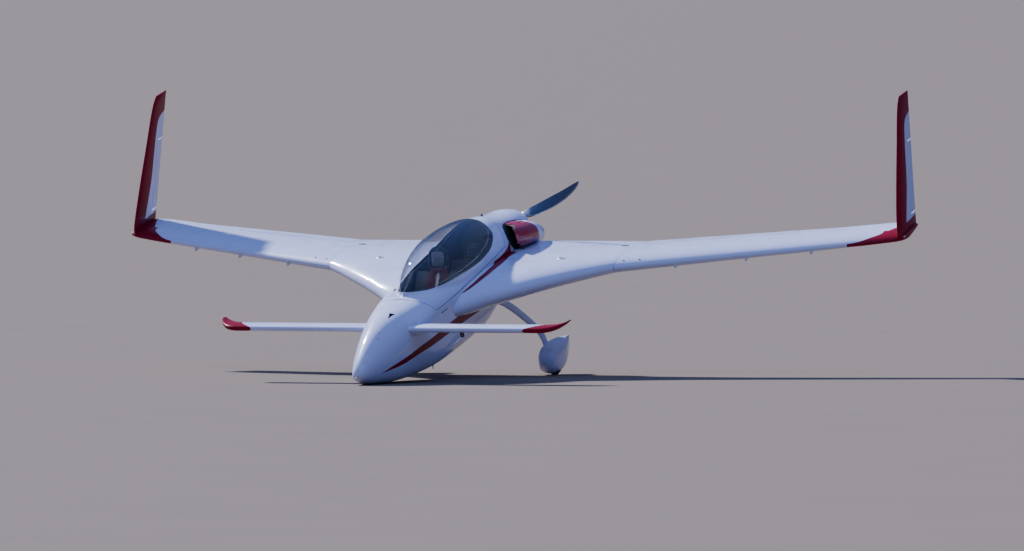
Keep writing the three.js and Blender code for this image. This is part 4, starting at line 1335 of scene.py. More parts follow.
@dataclass
class Assembly:
    """One part of the scene: makes its finished pieces and tells the frame about them."""

    stance: Stance

    def build(self) -> None:
        """Makes the pieces."""
        raise NotImplementedError

    def solid(self, form: Form) -> Solid:
        """A form ready to be cut."""
        return Solid(form, self.stance)

    def piece(
        self, name: str, shape: Form | Solid | Sequence[Form], finish: Finish | tuple[Finish, ...],
        replaces: str = "", skins: Sequence[Form] = (), body: Body = Body.AIRFRAME,
    ) -> None:
        """Makes a finished piece.

        Args:
            name: Its name.
            shape: Its form or forms, or the solid that was cut for it.
            finish: Its finish, or one for each skin and a last one for the cut faces.
            replaces: The frame's node that it stands for, if any.
            skins: The surfaces that it was cut from.
            body: The body that it rides on.
        """
        if isinstance(shape, (list, tuple)):
            shape = Form.gathered(shape)
        mesh = shape.result() if isinstance(shape, Solid) else mesh_of(shape, self.stance)
        finishes = (finish,) if isinstance(finish, Finish) else finish
        made = self.dressed(name, mesh, finishes, body)
        shade(mesh, skins, self.stance, len(finishes))
        if replaces:
            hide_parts(replaces)

    def dressed(
        self, name: str, mesh: bpy.types.Mesh, finishes: Sequence[Finish], body: Body,
    ) -> bpy.types.Object:
        """Puts a mesh into the scene with its finishes, riding on its body.

        Args:
            name: Its name.
            mesh: The mesh, in metres.
            finishes: Its finishes.
            body: The body that it rides on.

        Returns:
            The piece.
        """
        mesh.name = name
        made = bpy.data.objects.new(name, mesh)
        bpy.context.scene.collection.objects.link(made)
        mesh.materials.clear()
        for one in finishes:
            mesh.materials.append(one.material(self.stance))
        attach(made, body.value)
        log.info("%s: %d faces on %s", name, len(mesh.polygons), body.value)
        return made


@dataclass
class Hull:
    """The fuselage skin.

    A row is a station, the half width, waist, deck and belly there, the roundness above and below the
    waist, and the half width and crown of the canopy bubble.
    """

    rows: Rows = (
        (-402, 10, 163, 173, 153, 2.0, 2.0, 0, 0), (-384, 42, 162, 206, 120, 2.1, 2.1, 0, 0),
        (-320, 80, 160, 264, 76, 2.0, 2.2, 0, 0), (-200, 118, 166, 336, 36, 2.0, 2.4, 0, 0),
        (-50, 156, 182, 410, 0, 2.0, 2.7, 0, 0), (100, 190, 205, 468, -34, 2.0, 3.0, 0, 0),
        (300, 228, 240, 518, -64, 2.1, 3.5, 0, 0), (550, 264, 285, 552, -88, 2.4, 4.0, 0, 0),
        (800, 289, 330, 572, -104, 2.6, 4.4, 0, 400), (880, 294, 345, 580, -107, 2.7, 4.6, 10, 590),
        (920, 296, 352, 582, -108, 2.7, 4.7, 88, 640), (1000, 300, 365, 584, -110, 2.7, 4.8, 128, 698),
        (1100, 303, 378, 580, -111, 2.7, 5.0, 163, 761), (1250, 305, 392, 572, -112, 2.6, 5.0, 204, 834),
        (1500, 307, 405, 562, -109, 2.5, 5.0, 250, 904), (1750, 307, 415, 560, -105, 2.4, 5.0, 276, 932),
        (2000, 305, 425, 566, -95, 2.4, 5.0, 290, 932), (2300, 301, 440, 620, -70, 2.4, 5.0, 290, 916),
        (2600, 294, 455, 744, -12, 2.2, 4.4, 284, 879), (2900, 284, 470, 815, 50, 2.1, 3.8, 240, 785),
        (3150, 272, 485, 776, 108, 2.0, 3.3, 0, 500), (3400, 262, 505, 740, 166, 2.0, 2.8, 0, 500),
        (3600, 240, 525, 720, 240, 2.0, 2.3, 0, 500), (3735, 205, 540, 692, 340, 2.0, 2.2, 0, 500))
    fillet: float = 26.0
    wall: float = 20.0
    firewall: float = 3150.0
    aft: float = 3735.0
    tip: float = -402.0
    brow: Pair = (872.0, 1000.0)
    count: int = 144

    def __post_init__(self) -> None:
        """Draws the curves through the rows."""
        self.curves = Curves(self.rows)

    def ring(self, y: float, inset: float = 0.0) -> np.ndarray:
        """The section of the fuselage.

        Args:
            y: Its station.
            inset: How far it is drawn inwards.

        Returns:
            Its points, evenly spaced.
        """
        half, waist, deck, bottom, upper, lower, bubble, crown = self.curves.at(y)
        t = np.linspace(0, math.pi, 541)
        c, s = np.cos(t), np.sin(t)
        body = reach(c, s, half - inset, deck - inset - waist, upper)
        dome = reach(c, s, bubble - inset, crown - inset - waist, 2.0)
        near = np.maximum(self.fillet - np.abs(body - dome), 0)
        top = np.maximum(body, dome) + near**2 / (4 * self.fillet)
        top[[0, -1]] = half - inset
        low = reach(c, s, half - inset, waist - bottom - inset, lower)
        halves = [evened(np.column_stack((r * c * k, r * s * k)), self.count // 2)[:-1]
                  for r, k in ((top, 1), (low, -1))]
        flat = np.vstack(halves)
        return np.column_stack((flat[:, 0], np.full(len(flat), y), waist + flat[:, 1]))

    def body(self, start: float, end: float, inset: float = 0.0, step: float = 38.0) -> Form:
        """The hull between two stations.

        Args:
            start: The first one.
            end: The last one.
            inset: How far the skin is drawn inwards.
            step: The widest space between sections.

        Returns:
            A closed form.
        """
        places = self.curves.steps(step, start, end)
        if start < self.brow[0] and end > self.brow[1]:
            near = np.linspace(*self.brow, 15)
            places = np.concatenate((places[places < near[0] - 5], near, places[places > near[-1] + 5]))
        if start <= self.tip:
            near = self.tip + 120 * (1 - np.cos(np.linspace(0, math.pi / 2, 14)))
            places = np.append(near, places[places > near[-1] + 8])
        rings = [self.ring(y, inset) for y in places]
        nose = rings[0].mean(0) - (0, 2.5 if start <= self.tip else 0, 0)
        return Form.loft(rings, hubs=(nose, rings[-1].mean(0)))

    def deck(self, y: float) -> float:
        """Height of the deck."""
        return float(self.curves.at(y)[2])

    def belly(self, y: float) -> float:
        """Height of the belly."""
        return float(self.curves.at(y)[3])

    def top_at(self, x: float, y: float) -> float:
        """Height of the upper surface above a butt line."""
        ring = self.ring(y)[: self.count // 2 + 1]
        return float(np.interp(x, ring[::-1, 0], ring[::-1, 2]))

    def side_at(self, y: float, z: float) -> float:
        """Half width at a height."""
        ring = self.ring(y)
        near = ring[ring[:, 0] > 0]
        order = np.argsort(near[:, 2])
        return float(np.interp(z, near[order, 2], near[order, 0]))


@dataclass
class Fuselage(Assembly):
    """The fuselage shell with its wells, hinge posts, bumper and small fittings."""

    hull: Hull
    split: Rows = (
        (940, 439), (165, 1143), (3090, 1143), (2853, 556), (2700, 548), (2524, 533), (2250, 510),
        (1905, 483), (1542, 462), (1280, 450))
    seam: float = 5.0
    well_half: float = 62.0
    well: Triple = (350, 1142, 108)
    brake: Triple = (2130, 2540, 170)
    brake_depth: float = 10.0
    hinge_stations: Pair = (1420, 2480)
    bumper: Triple = (-190, 70, 48)

    def __post_init__(self) -> None:
        """Lofts the surfaces that several pieces share."""
        hull = self.hull
        self.skin = hull.body(hull.tip, hull.aft)
        self.cabin = hull.body(260, hull.firewall + 20, hull.wall)

    def hinge_point(self, station: float) -> Triple:
        """The canopy's hinge line at a station."""
        return -313.0, station, 478.5 + (station - 1890) * (523 - 439) / (2840 - 940)

    def hinge_rod(self, station: float, half: float, radius: float) -> Form:
        """A rod on the canopy's hinge line."""
        return Form.rod([self.hinge_point(station - half), self.hinge_point(station + half)], radius, 32)

    def brake_rod(self, half: float, radius: float) -> Form:
        """A rod on the landing brake's hinge line."""
        y, z = self.brake[0] + 4, self.hull.belly(self.brake[0]) + 12
        return Form.rod([(-half, y, z), (half, y, z)], radius, 32)

    def belly_slab(self, start: float, end: float, rise: float, half: float) -> Form:
        """Everything under a line that follows the belly at a height."""
        line = [(y, self.hull.belly(y) + rise) for y in np.linspace(start, end, 14)]
        return Form.slab([*line, (end, -260), (start, -260)], Axis.X, -half, half)

    def posts(self) -> list[Form]:
        """The posts and pins that hold the canopy's knuckles."""
        out = []
        for station in self.hinge_stations:
            x, _, z = self.hinge_point(station)
            for at in (station - 40, station + 40):
                out.append(Form.box((x - 6, at - 7, z - 34), (x + 9, at + 7, z + 5), 2.0, 2))
                out.append(Form.box((x - 5, at - 6.8, z - 33), (x + 24, at + 6.8, z - 9)))
            out.append(self.hinge_rod(station, 48, 4))
        return out

    def build(self) -> None:
        """Makes the shell and its small fittings."""
        hull = self.hull
        front, end, top = self.well
        inner = hull.body(-380, hull.firewall - 2, 9.0)
        wall = self.solid(Form.box((-74, front - 20, -150), (74, end + 12, top + 12))).keep(inner)
        low = self.brake[0]
        beam = self.solid(Form.box((-210, low - 30, -120), (210, low + 50, hull.belly(low) + 38))).keep(inner)
        bay = self.solid(self.belly_slab(low - 20, self.brake[1] + 5.5, 15.5, self.brake[2] + 5.5)).add(
            self.brake_rod(self.brake[2] + 5.5, 18.5), self.brake_rod(self.brake[2] + 24, 4.6))
        shell = self.solid(hull.body(hull.tip, hull.firewall)).cut(self.cabin).add(wall, beam)
        shell.cut(
            Form.through(grown(self.split, self.seam)),
            Form.box((-self.well_half, front, -300), (self.well_half, end, top), 6.0, 3), bay, self.scoop())
        for station in self.hinge_stations:
            shell.cut(self.hinge_rod(station, 31.5, 13.5))
        shell.add(*self.posts())
        paints = (GlossPaint(), CabinTrim(), CabinTrim())
        self.piece("fuselage_skin", shell, paints, "fuselage_shell", (self.skin, self.cabin))
        self.build_fittings()

    def scoop(self) -> Form:
        """The sunken ramp of the air scoop on the nose."""
        front, back, centre = 322.0, 432.0, 58.0
        rings = []
        for t in np.linspace(0, 1, 9):
            y = front + (back - front) * t
            left, right = centre - 4 - 24 * t**1.6, centre + 4 + 24 * t**1.6
            top, low = self.hull.top_at(centre, y) + 40, self.hull.top_at(centre, y) - 1 - 17 * t
            rings.append(np.array([(left, y, top), (right, y, top), (right, y, low), (left, y, low)]))
        return Form.loft(rings)

    def build_fittings(self) -> None:
        """Makes the bumper, the two antennas, the pitot tube and the fittings on the nose."""
        hull = self.hull
        front, aft, half = self.bumper
        line = [(y, self.stance.ground(y)) for y in (front + 8, aft - 8)]
        pad = [(front, line[0][1] + 10 + 1.8), *line, (aft, line[1][1] + 10 - 1.8),
               (aft, line[1][1] + 60), (front, line[0][1] + 60)]
        bumper = self.solid(Form.slab(pad, Axis.X, -half, half, 4.0, 3)).cut(hull.body(hull.tip, 400, 1.0))
        self.piece("bumper_pad", bumper, BumperRubber(), "nose_bumper")
        deck = hull.deck(3020)
        blade = Form.slab([(2990, deck - 14), (3060, deck - 24), (3050, deck + 18), (3044, deck + 22),
                           (3030, deck + 22), (3022, deck + 16)], Axis.X, -4, 4, 2.2, 3)
        sole = [(2980, deck + 4), (3068, deck - 6), (3068, deck - 12), (2980, deck - 4)]
        foot = Form.slab(sole, Axis.X, -9, 9, 2, 2)
        self.piece("deck_antenna", (blade, foot), CabinTrim(), "antenna")
        low = hull.belly(1040)
        mast = Form.rod([(170, 1040, low + 8), (170, 1042, low - 20), (170, 1046, low - 40)], (5, 4, 3.2), 16)
        flange = Form.lathe(((0, -3), (13, -3), (15, 0), (15, 6), (0, 6)), (170, 1040, low), Axis.Z, 32)
        self.piece("belly_mast", (mast, flange), CabinTrim(), "belly_antenna")
        probe = ((0, -34), (2.6, -34), (2.8, -40), (4.6, -39), (6, -34), (6, 8), (9, 12), (9, 20), (0, 20))
        tube = Form.lathe(probe, (0, hull.tip, 150), Axis.Y, 24)
        self.piece("pitot", tube, BareMetal(), "pitot_tube")
        stud = ((0, -4), (6, -4), (6.5, 0), (5, 2.2), (0, 2.6))
        bits = [Form.lathe(stud, (x, y, hull.top_at(x, y)), Axis.Z, 24) for x, y in ((57, 72), (71, 1))]
        y, z = 1120, 386
        side = hull.side_at(y, z)
        grip = [(1040, z - 5), (1204, z - 1), (1204, z + 7), (1040, z + 3)]
        bits.append(Form.slab(grip, Axis.X, side - 6, side + 3.5, 1.5, 2))
        self.piece("nose_fittings", bits, CabinTrim())


@dataclass
class Canopy(Assembly):
    """The canopy: its frame with the hinges, its blown acrylic, and the black band and lip inside it."""

    fuselage: Fuselage
    glass: float = 4.0
    band: Rows = ((905, 5), (1156, 12), (1500, 26), (2000, 44), (2400, 58), (2700, 58), (2760, 40))
    window: Rows = (
        (892, 665), (898, 624), (916, 608), (965, 600), (1060, 587), (1156, 577), (1401, 569),
        (1786, 569), (2145, 578), (2396, 602), (2535, 628), (2643, 668), (2713, 704), (2743, 745),
        (2760, 1000), (905, 1000))

    def outline(self) -> np.ndarray:
        """The window's edge in side view, its lower edge a smooth curve."""
        curve = spline(self.window[:-1], 5)
        return np.vstack((curve[:-1], (2760, 1000), (905, 1000)))

    def build(self) -> None:
        """Makes the frame, the glass and the fittings that open with them."""
        hull, fuselage = self.fuselage.hull, self.fuselage
        edge = self.outline()
        frame = self.solid(hull.body(800, hull.firewall)).keep(Form.through(fuselage.split))
        frame.cut(fuselage.cabin, Form.through(edge))
        for station in fuselage.hinge_stations:
            x, _, z = fuselage.hinge_point(station)
            shape = [(x - 5, z + 4), (x + 2, z - 2), (x + 12, z + 4), (x + 34, z + 48), (x + 24, z + 52)]
            tab = Form.slab(shape, Axis.Y, station - 26, station + 26, 2, 2)
            frame.add(fuselage.hinge_rod(station, 26, 8), tab).cut(fuselage.hinge_rod(station, 50, 4.6))
        self.piece(
            "canopy_surround", frame, (GlossPaint(), CabinTrim(), CabinTrim()), "canopy_frame",
            (fuselage.skin, fuselage.cabin), body=Body.CANOPY)
        outer = hull.body(800, hull.firewall, 0.2)
        inside = hull.body(800, hull.firewall, self.glass)
        pane = self.solid(outer).cut(inside).keep(Form.through(grown(edge, -0.3)))
        self.piece(
            "canopy_acrylic", pane, TintedAcrylic(), "canopy_glass", (fuselage.skin, inside),
            body=Body.CANOPY)
        self.build_band()

    def clear_edge(self) -> np.ndarray:
        """The edge of the clear part of the window, above the painted band."""
        edge = self.outline()
        rise = np.interp(edge[:, 0], *np.array(self.band).T)
        low = edge[:, 1] < 990
        back, up = np.where(low, -0.3 * rise, -16), np.where(low, rise, 0)
        return edge + np.column_stack((back, up))

    def build_band(self) -> None:
        """Makes the dark painted flange inside the glass and the lip along its edge, whose pale grey is a
        painted highlight.
        """
        hull = self.fuselage.hull
        over, under = hull.body(800, hull.firewall, 4.4), hull.body(800, hull.firewall, 6.4)
        clear = self.clear_edge()
        band = self.solid(over).cut(under, Form.through(clear))
        band.keep(Form.through(grown(self.outline(), -1)))
        self.piece(
            "canopy_edge_band", band, CabinTrim(colour=(0.010, 0.010, 0.012, 1.0), rough=0.35),
            skins=(over, under), body=Body.CANOPY)
        # The lip is coloured pale grey as a painted highlight along the flange's edge.
        line = [(hull.side_at(y, z) - 8.5, y, z) for y, z in clear[5:-2:2] if 1250 < y < 2690]
        lip = Form.rod(line, 2.4, 10)
        self.piece(
            "canopy_flange_lip", lip.both(), CabinTrim(colour=(0.34, 0.37, 0.38, 1.0)), body=Body.CANOPY)


@dataclass
class Canard(Assembly):
    """The forward wing and its two elevators."""

    front: float = 385.0
    back: float = 705.0
    z: float = 369.0
    thick: float = 62.0
    blunt: float = 3.0
    crest: float = 0.38
    rigged: float = 5.0
    nose: float = 19.5
    rows: Rows = (
        (20, 0, 1), (1300, 0, 1), (1490, 0, 1), (1570, 4, 0.9), (1635, 16, 0.66), (1672, 31, 0.42),
        (1690, 44, 0.25))
    share: float = 0.31
    span: Pair = (340.0, 1440.0)
    gap: float = 5.5

    def wing_row(self, x: float) -> tuple[float, ...]:
        """Leading edge, trailing edge and thickness at a butt line."""
        rise, share = Curves(self.rows).at(x)
        cut = (1 - share) * (self.back - self.front)
        front, back = self.front + cut * 0.95, self.back + cut * 0.05
        z = self.z + rise + 6 * (1 - self.share)
        slope = math.tan(math.radians(self.rigged)) * (back - front)
        return x, front, z + (1 - self.share) * slope, back, z - self.share * slope, self.thick * share

    def ring(self, x: float, side: int) -> np.ndarray:
        """The blunt-nosed section of the canard.

        Args:
            x: Its distance from the middle.
            side: 1 for port, -1 for starboard.

        Returns:
            Its points, in place.
        """
        _, front, low, back, high, thick = self.wing_row(x)
        t = np.linspace(0, math.pi / 2, 19)
        power = 2 / self.blunt
        nose = np.column_stack((self.crest * (1 - np.cos(t) ** power), np.sin(t) ** power))
        far = np.linspace(0, 1, 15)[1:]
        tail = np.column_stack((
            self.crest + (1 - self.crest) * far, 1 - 0.75 * far**1.5 - 0.25 * far**3 + 0.05 * far))
        flat = np.vstack((nose, tail)) * (back - front, thick / 2)
        whole = np.vstack((flat, flat[:0:-1] * (1, -1)))
        tilt = math.atan2(high - low, back - front)
        c, s = math.cos(tilt), math.sin(tilt)
        u, h = whole.T
        return np.column_stack((np.full(len(u), side * x), front + u * c - h * s, low + u * s + h * c))

    def hinge(self, x: float) -> Triple:
        """The elevator's hinge line at a butt line."""
        _, front, low, back, high, _ = self.wing_row(abs(x))
        at = 1 - self.share
        return x, front + at * (back - front), low + at * (high - low)

    def build(self) -> None:
        """Makes the canard, the elevators and the small probe."""
        places = Curves(self.rows).steps(60)
        rings = [self.ring(x, -1) for x in places[::-1]] + [self.ring(x, 1) for x in places]
        whole = Form.loft(rings)
        fixed = self.solid(whole)
        for name, side in SIDES:
            start, end = side * self.span[0], side * self.span[1]
            y = self.hinge(start)[1]

            def window(extra: float) -> Form:
                """The span of the elevator, with room at its ends."""
                return Form.box((start - side * extra, 300, 250), (end + side * extra, 800, 480))

            def rod(extra: float, radius: float, sides: int) -> Form:
                """A rod on the hinge line, longer than the elevator."""
                ends = [self.hinge(start - side * extra), self.hinge(end + side * extra)]
                return Form.rod(ends, radius, sides)

            def behind(grow: float) -> Solid:
                """What lies behind the hinge line, with the round nose."""
                back = Form.box((start - side * 60, y, 250), (end + side * 60, 800, 480))
                return self.solid(back).add(rod(60, self.nose + grow, 40))

            pin, hole = rod(31.5, 4.0, 24), rod(33, 4.6, 24)
            surface = self.solid(whole).keep(behind(0).keep(window(0))).add(pin)
            self.piece(
                f"elevator_skin_{name}", surface, GlossPaint(), f"elevator_{name}", (whole,),
                body=Body.ELEVATORS)
            fixed.cut(behind(self.gap).keep(window(self.gap)), hole)
        probe = Form.slab([(450, self.z - 12), (462, self.z - 60), (470, self.z - 66), (500, self.z - 66),
                           (506, self.z - 60), (518, self.z - 12)], Axis.X, 692, 718, 5, 3)
        self.piece("canard_skin", fixed, GlossPaint(), "canard", (whole,))
        self.piece("canard_probe", probe, CabinTrim())


@dataclass
class WingSide(Assembly):
    """One side's strake, wing, aileron, winglet, rudder and their small fittings."""

    fuselage: Fuselage
    name: str
    side: int
    strake: Rows = (
        (200, 1215, 312, 3585, 424, 266), (305, 1330, 316, 3585, 424, 262),
        (508, 1700, 328, 3585, 424, 250), (762, 1985, 356, 3585, 424, 224),
        (1016, 2248, 376, 3585, 424, 192), (1270, 2512, 388, 3585, 424, 160),
        (1409, 2642, 394, 3585, 424, 146))
    wing: Rows = (
        (1413.5, 2644, 394, 3586, 424, 146), (2300, 3065, 392, 3846, 430, 118),
        (3200, 3492, 390, 4110, 436, 90), (3790, 3768, 396, 4290, 441, 70),
        (3845, 3797, 400, 4262, 441, 60), (3872, 3818, 405, 4222, 440, 48),
        (3880, 3832, 408, 4190, 440, 42))
    winglet: Rows = (
        (402, 3826, 3785, 4300, 60), (466, 3822, 3772, 4312, 60), (560, 3814, 3800, 4337, 58),
        (800, 3794, 3905, 4402, 52), (1200, 3762, 4106, 4510, 40), (1560, 3733, 4296, 4606, 28),
        (1600, 3729.5, 4336, 4618, 21), (1626, 3727, 4362, 4626, 10))
    aileron: Pair = (1455.0, 2780.0)
    rudder: Pair = (560.0, 1190.0)
    fences: Rows = ((1928, 2886), (2525, 3170), (3073, 3432))

    def split(
        self, whole: Form, hinge: Callable[[float], Triple],
        ends: Pair, nose: Pair, region: Callable[[float, bool], Form], gap: float,
    ) -> tuple[Solid, Solid]:
        """Parts a control surface from what carries it, its nose round in a round cove.

        Args:
            whole: The uncut surface.
            hinge: The hinge line at a place along it.
            ends: Where the control surface starts and ends along the hinge line.
            nose: Nose radius at each end.
            region: What lies behind the hinge line, or the whole chord, widened at its ends.
            gap: Room at the ends.

        Returns:
            The moving surface and the fixed one.
        """
        a, b = (np.array(hinge(end)) for end in ends)
        along = (b - a) / np.linalg.norm(b - a)

        def rod(extra: float, radii: Pair, sides: int = 40) -> Form:
            """A rod on the hinge line, longer than the surface."""
            return Form.rod([a - along * extra, b + along * extra], radii, sides)

        zone = self.solid(region(30.0, False)).add(rod(40, nose)).keep(region(0.0, True))
        bay = self.solid(region(30.0, False)).add(rod(60, (nose[0] + 5.5, nose[1] + 5.5)))
        bay.keep(region(gap, True))
        moving = self.solid(whole).keep(zone).add(rod(gap + 26, (4.0, 4.0), 24))
        fixed = self.solid(whole).cut(bay, rod(gap + 27, (4.6, 4.6), 24))
        return moving, fixed

    def build(self) -> None:
        """Makes the pieces of this side."""
        self.build_strake()
        self.build_wing()
        self.build_winglet()

    def build_strake(self) -> None:
        """Makes the strake with its fuel cap and tie-down."""
        curves, side = Curves(self.strake), self.side
        whole = Form.loft([wing_ring((x, *curves.at(x)), side) for x in curves.steps(45)])
        hull = self.fuselage.hull
        strake = self.solid(whole).cut(hull.body(900, hull.aft, 6.0))
        if side < 0:
            for station in self.fuselage.hinge_stations:
                strake.cut(self.fuselage.hinge_rod(station, 56, 22))
        self.piece(f"strake_skin_{self.name}", strake, GlossPaint(), f"strake_{self.name}", (whole,))
        x, y, z = side * 900, 2665, self.top(curves, 900, 2665)
        disc = ((0, -6), (36, -6), (38, 1.2), (34, 3.2), (24, 3.4), (22, 2.2), (0, 2.2))
        cap = Form.lathe(disc, (x, y, z), Axis.Z, 48)
        lever = Form.box((x - 17, y - 4, z + 1), (x + 17, y + 4, z + 5), 1.5, 2)
        pad = Form.slab(np.column_stack(circle(40)) * 25 + (side * 1150, 2900), Axis.Z, 300, 340, 2, 2)
        loop = [(side * 1150, 2900 + 13 * c, 292 + 13 * s) for c, s in zip(*circle(28))]
        ring = Form.rod(loop, 2.6, 10, True)
        self.piece(f"fuel_cap_{self.name}", (cap, lever), BareMetal())
        self.piece(f"tie_down_{self.name}", (pad, ring), Steel())

    @staticmethod
    def top(curves: Curves, x: float, y: float) -> float:
        """Height of a wing's upper surface."""
        ring = wing_ring((x, *curves.at(x)), 1)
        upper = ring[: len(ring) // 2 + 1]
        return float(np.interp(y, upper[:, 1], upper[:, 2]))

    def build_wing(self) -> None:
        """Makes the wing, its aileron, covers, fences and tip light."""
        curves, side = Curves(self.wing), self.side
        whole = Form.loft([wing_ring((x, *curves.at(x)), side) for x in curves.steps(60)])

        def hinge(x: float) -> Triple:
            """The aileron's hinge line."""
            front, low, back, high, _ = curves.at(x)
            return side * x, front + 0.8 * (back - front), low + 0.8 * (high - low)

        def region(extra: float, full: bool) -> Form:
            """What lies behind the hinge line, or the whole chord."""
            a, b = self.aileron[0] - extra, self.aileron[1] + extra
            ya, yb = (2400, 2400) if full else (hinge(a)[1], hinge(b)[1])
            outline = [(side * a, ya), (side * b, yb), (side * b, 4400), (side * a, 4400)]
            return Form.slab(outline, Axis.Z, 200, 700)

        nose = tuple(0.2 * float(curves.at(x)[4]) for x in self.aileron)
        moving, fixed = self.split(whole, hinge, self.aileron, nose, region, 12.0)
        body = Body(f"aileron_{self.name}")
        self.piece(f"wing_skin_{self.name}", fixed, GlossPaint(), f"wing_{self.name}", (whole,))
        self.piece(
            f"aileron_skin_{self.name}", moving, GlossPaint(), f"aileron_{self.name}", (whole,), body=body)
        self.build_covers(curves)
        plates = []
        for x, y in self.fences:
            z = float(curves.at(x)[1])
            outline = [(y - 14, z - 4), (y - 24, z - 30), (y - 18, z - 42), (y, z - 47), (y + 60, z - 49),
                       (y + 74, z - 42), (y + 88, z - 20), (y + 60, z - 4)]
            plates.append(Form.slab(outline, Axis.X, side * x - 2, side * x + 2, 1.4, 3))
        self.piece(f"wing_fences_{self.name}", plates, GlossPaint(trimmed=False))
        lens = Form.lathe(((0, -30), (9, -27), (13, -15), (14, 0), (12, 14), (0, 18)),
                          (side * 3862, 3846, 414), Axis.Y, 32)
        self.piece(f"tip_light_{self.name}", lens, ClearLens())

    def build_covers(self, curves: Curves) -> None:
        """Makes the oval cover at the wing root and the plugs in the leading edge.

        Args:
            curves: The wing's table.
        """
        x, y = 1310.0, 3262.0
        z = self.top(Curves(self.strake), x, y)
        oval = np.column_stack(circle(36)) * (44, 26) + (self.side * x, y)
        cover = Form.slab(oval, Axis.Z, z - 6, z + 2.2, 1.2, 2)
        plugs = []
        button = ((0, -8), (10, -8), (10.5, 0), (8, 2.4), (0, 2.8))
        for at, front in ((1473, 2757), (1610, 2815)):
            place = (self.side * at, front, self.top(curves, at, front))
            plugs.append(Form.lathe(button, place, Axis.Z, 24))
        self.piece(f"wing_covers_{self.name}", (cover, *plugs), CabinTrim(rough=0.4))

    def build_winglet(self) -> None:
        """Makes the winglet and its rudder."""
        curves, side = Curves(self.winglet), self.side
        rings = []
        for z in curves.steps(45):
            x, front, back, thick = curves.at(z)
            u, h = section(back - front, thick).T
            rings.append(np.column_stack((side * (x + h), front + u, np.full(len(u), z))))
        whole = Form.loft(rings)

        def hinge(z: float) -> Triple:
            """The rudder's hinge line."""
            x, front, back, _ = curves.at(z)
            return side * x, front + 0.7 * (back - front), z

        def region(extra: float, full: bool) -> Form:
            """What lies behind the hinge line, or the whole chord."""
            a, b = self.rudder[0] - extra, self.rudder[1] + extra
            ya, yb = (3500, 3500) if full else (hinge(a)[1], hinge(b)[1])
            outline = [(ya, a), (yb, b), (4800, b), (4800, a)]
            return Form.slab(outline, Axis.X, side * 3800 - 250, side * 3800 + 250)

        nose = tuple(0.28 * float(curves.at(z)[3]) for z in self.rudder)
        moving, fixed = self.split(whole, hinge, self.rudder, nose, region, 14.0)
        body = Body(f"rudder_{self.name}")
        self.piece(f"winglet_skin_{self.name}", fixed, GlossPaint(), f"winglet_{self.name}", (whole,))
        self.piece(
            f"rudder_skin_{self.name}", moving, GlossPaint(), f"rudder_{self.name}", (whole,), body=body)


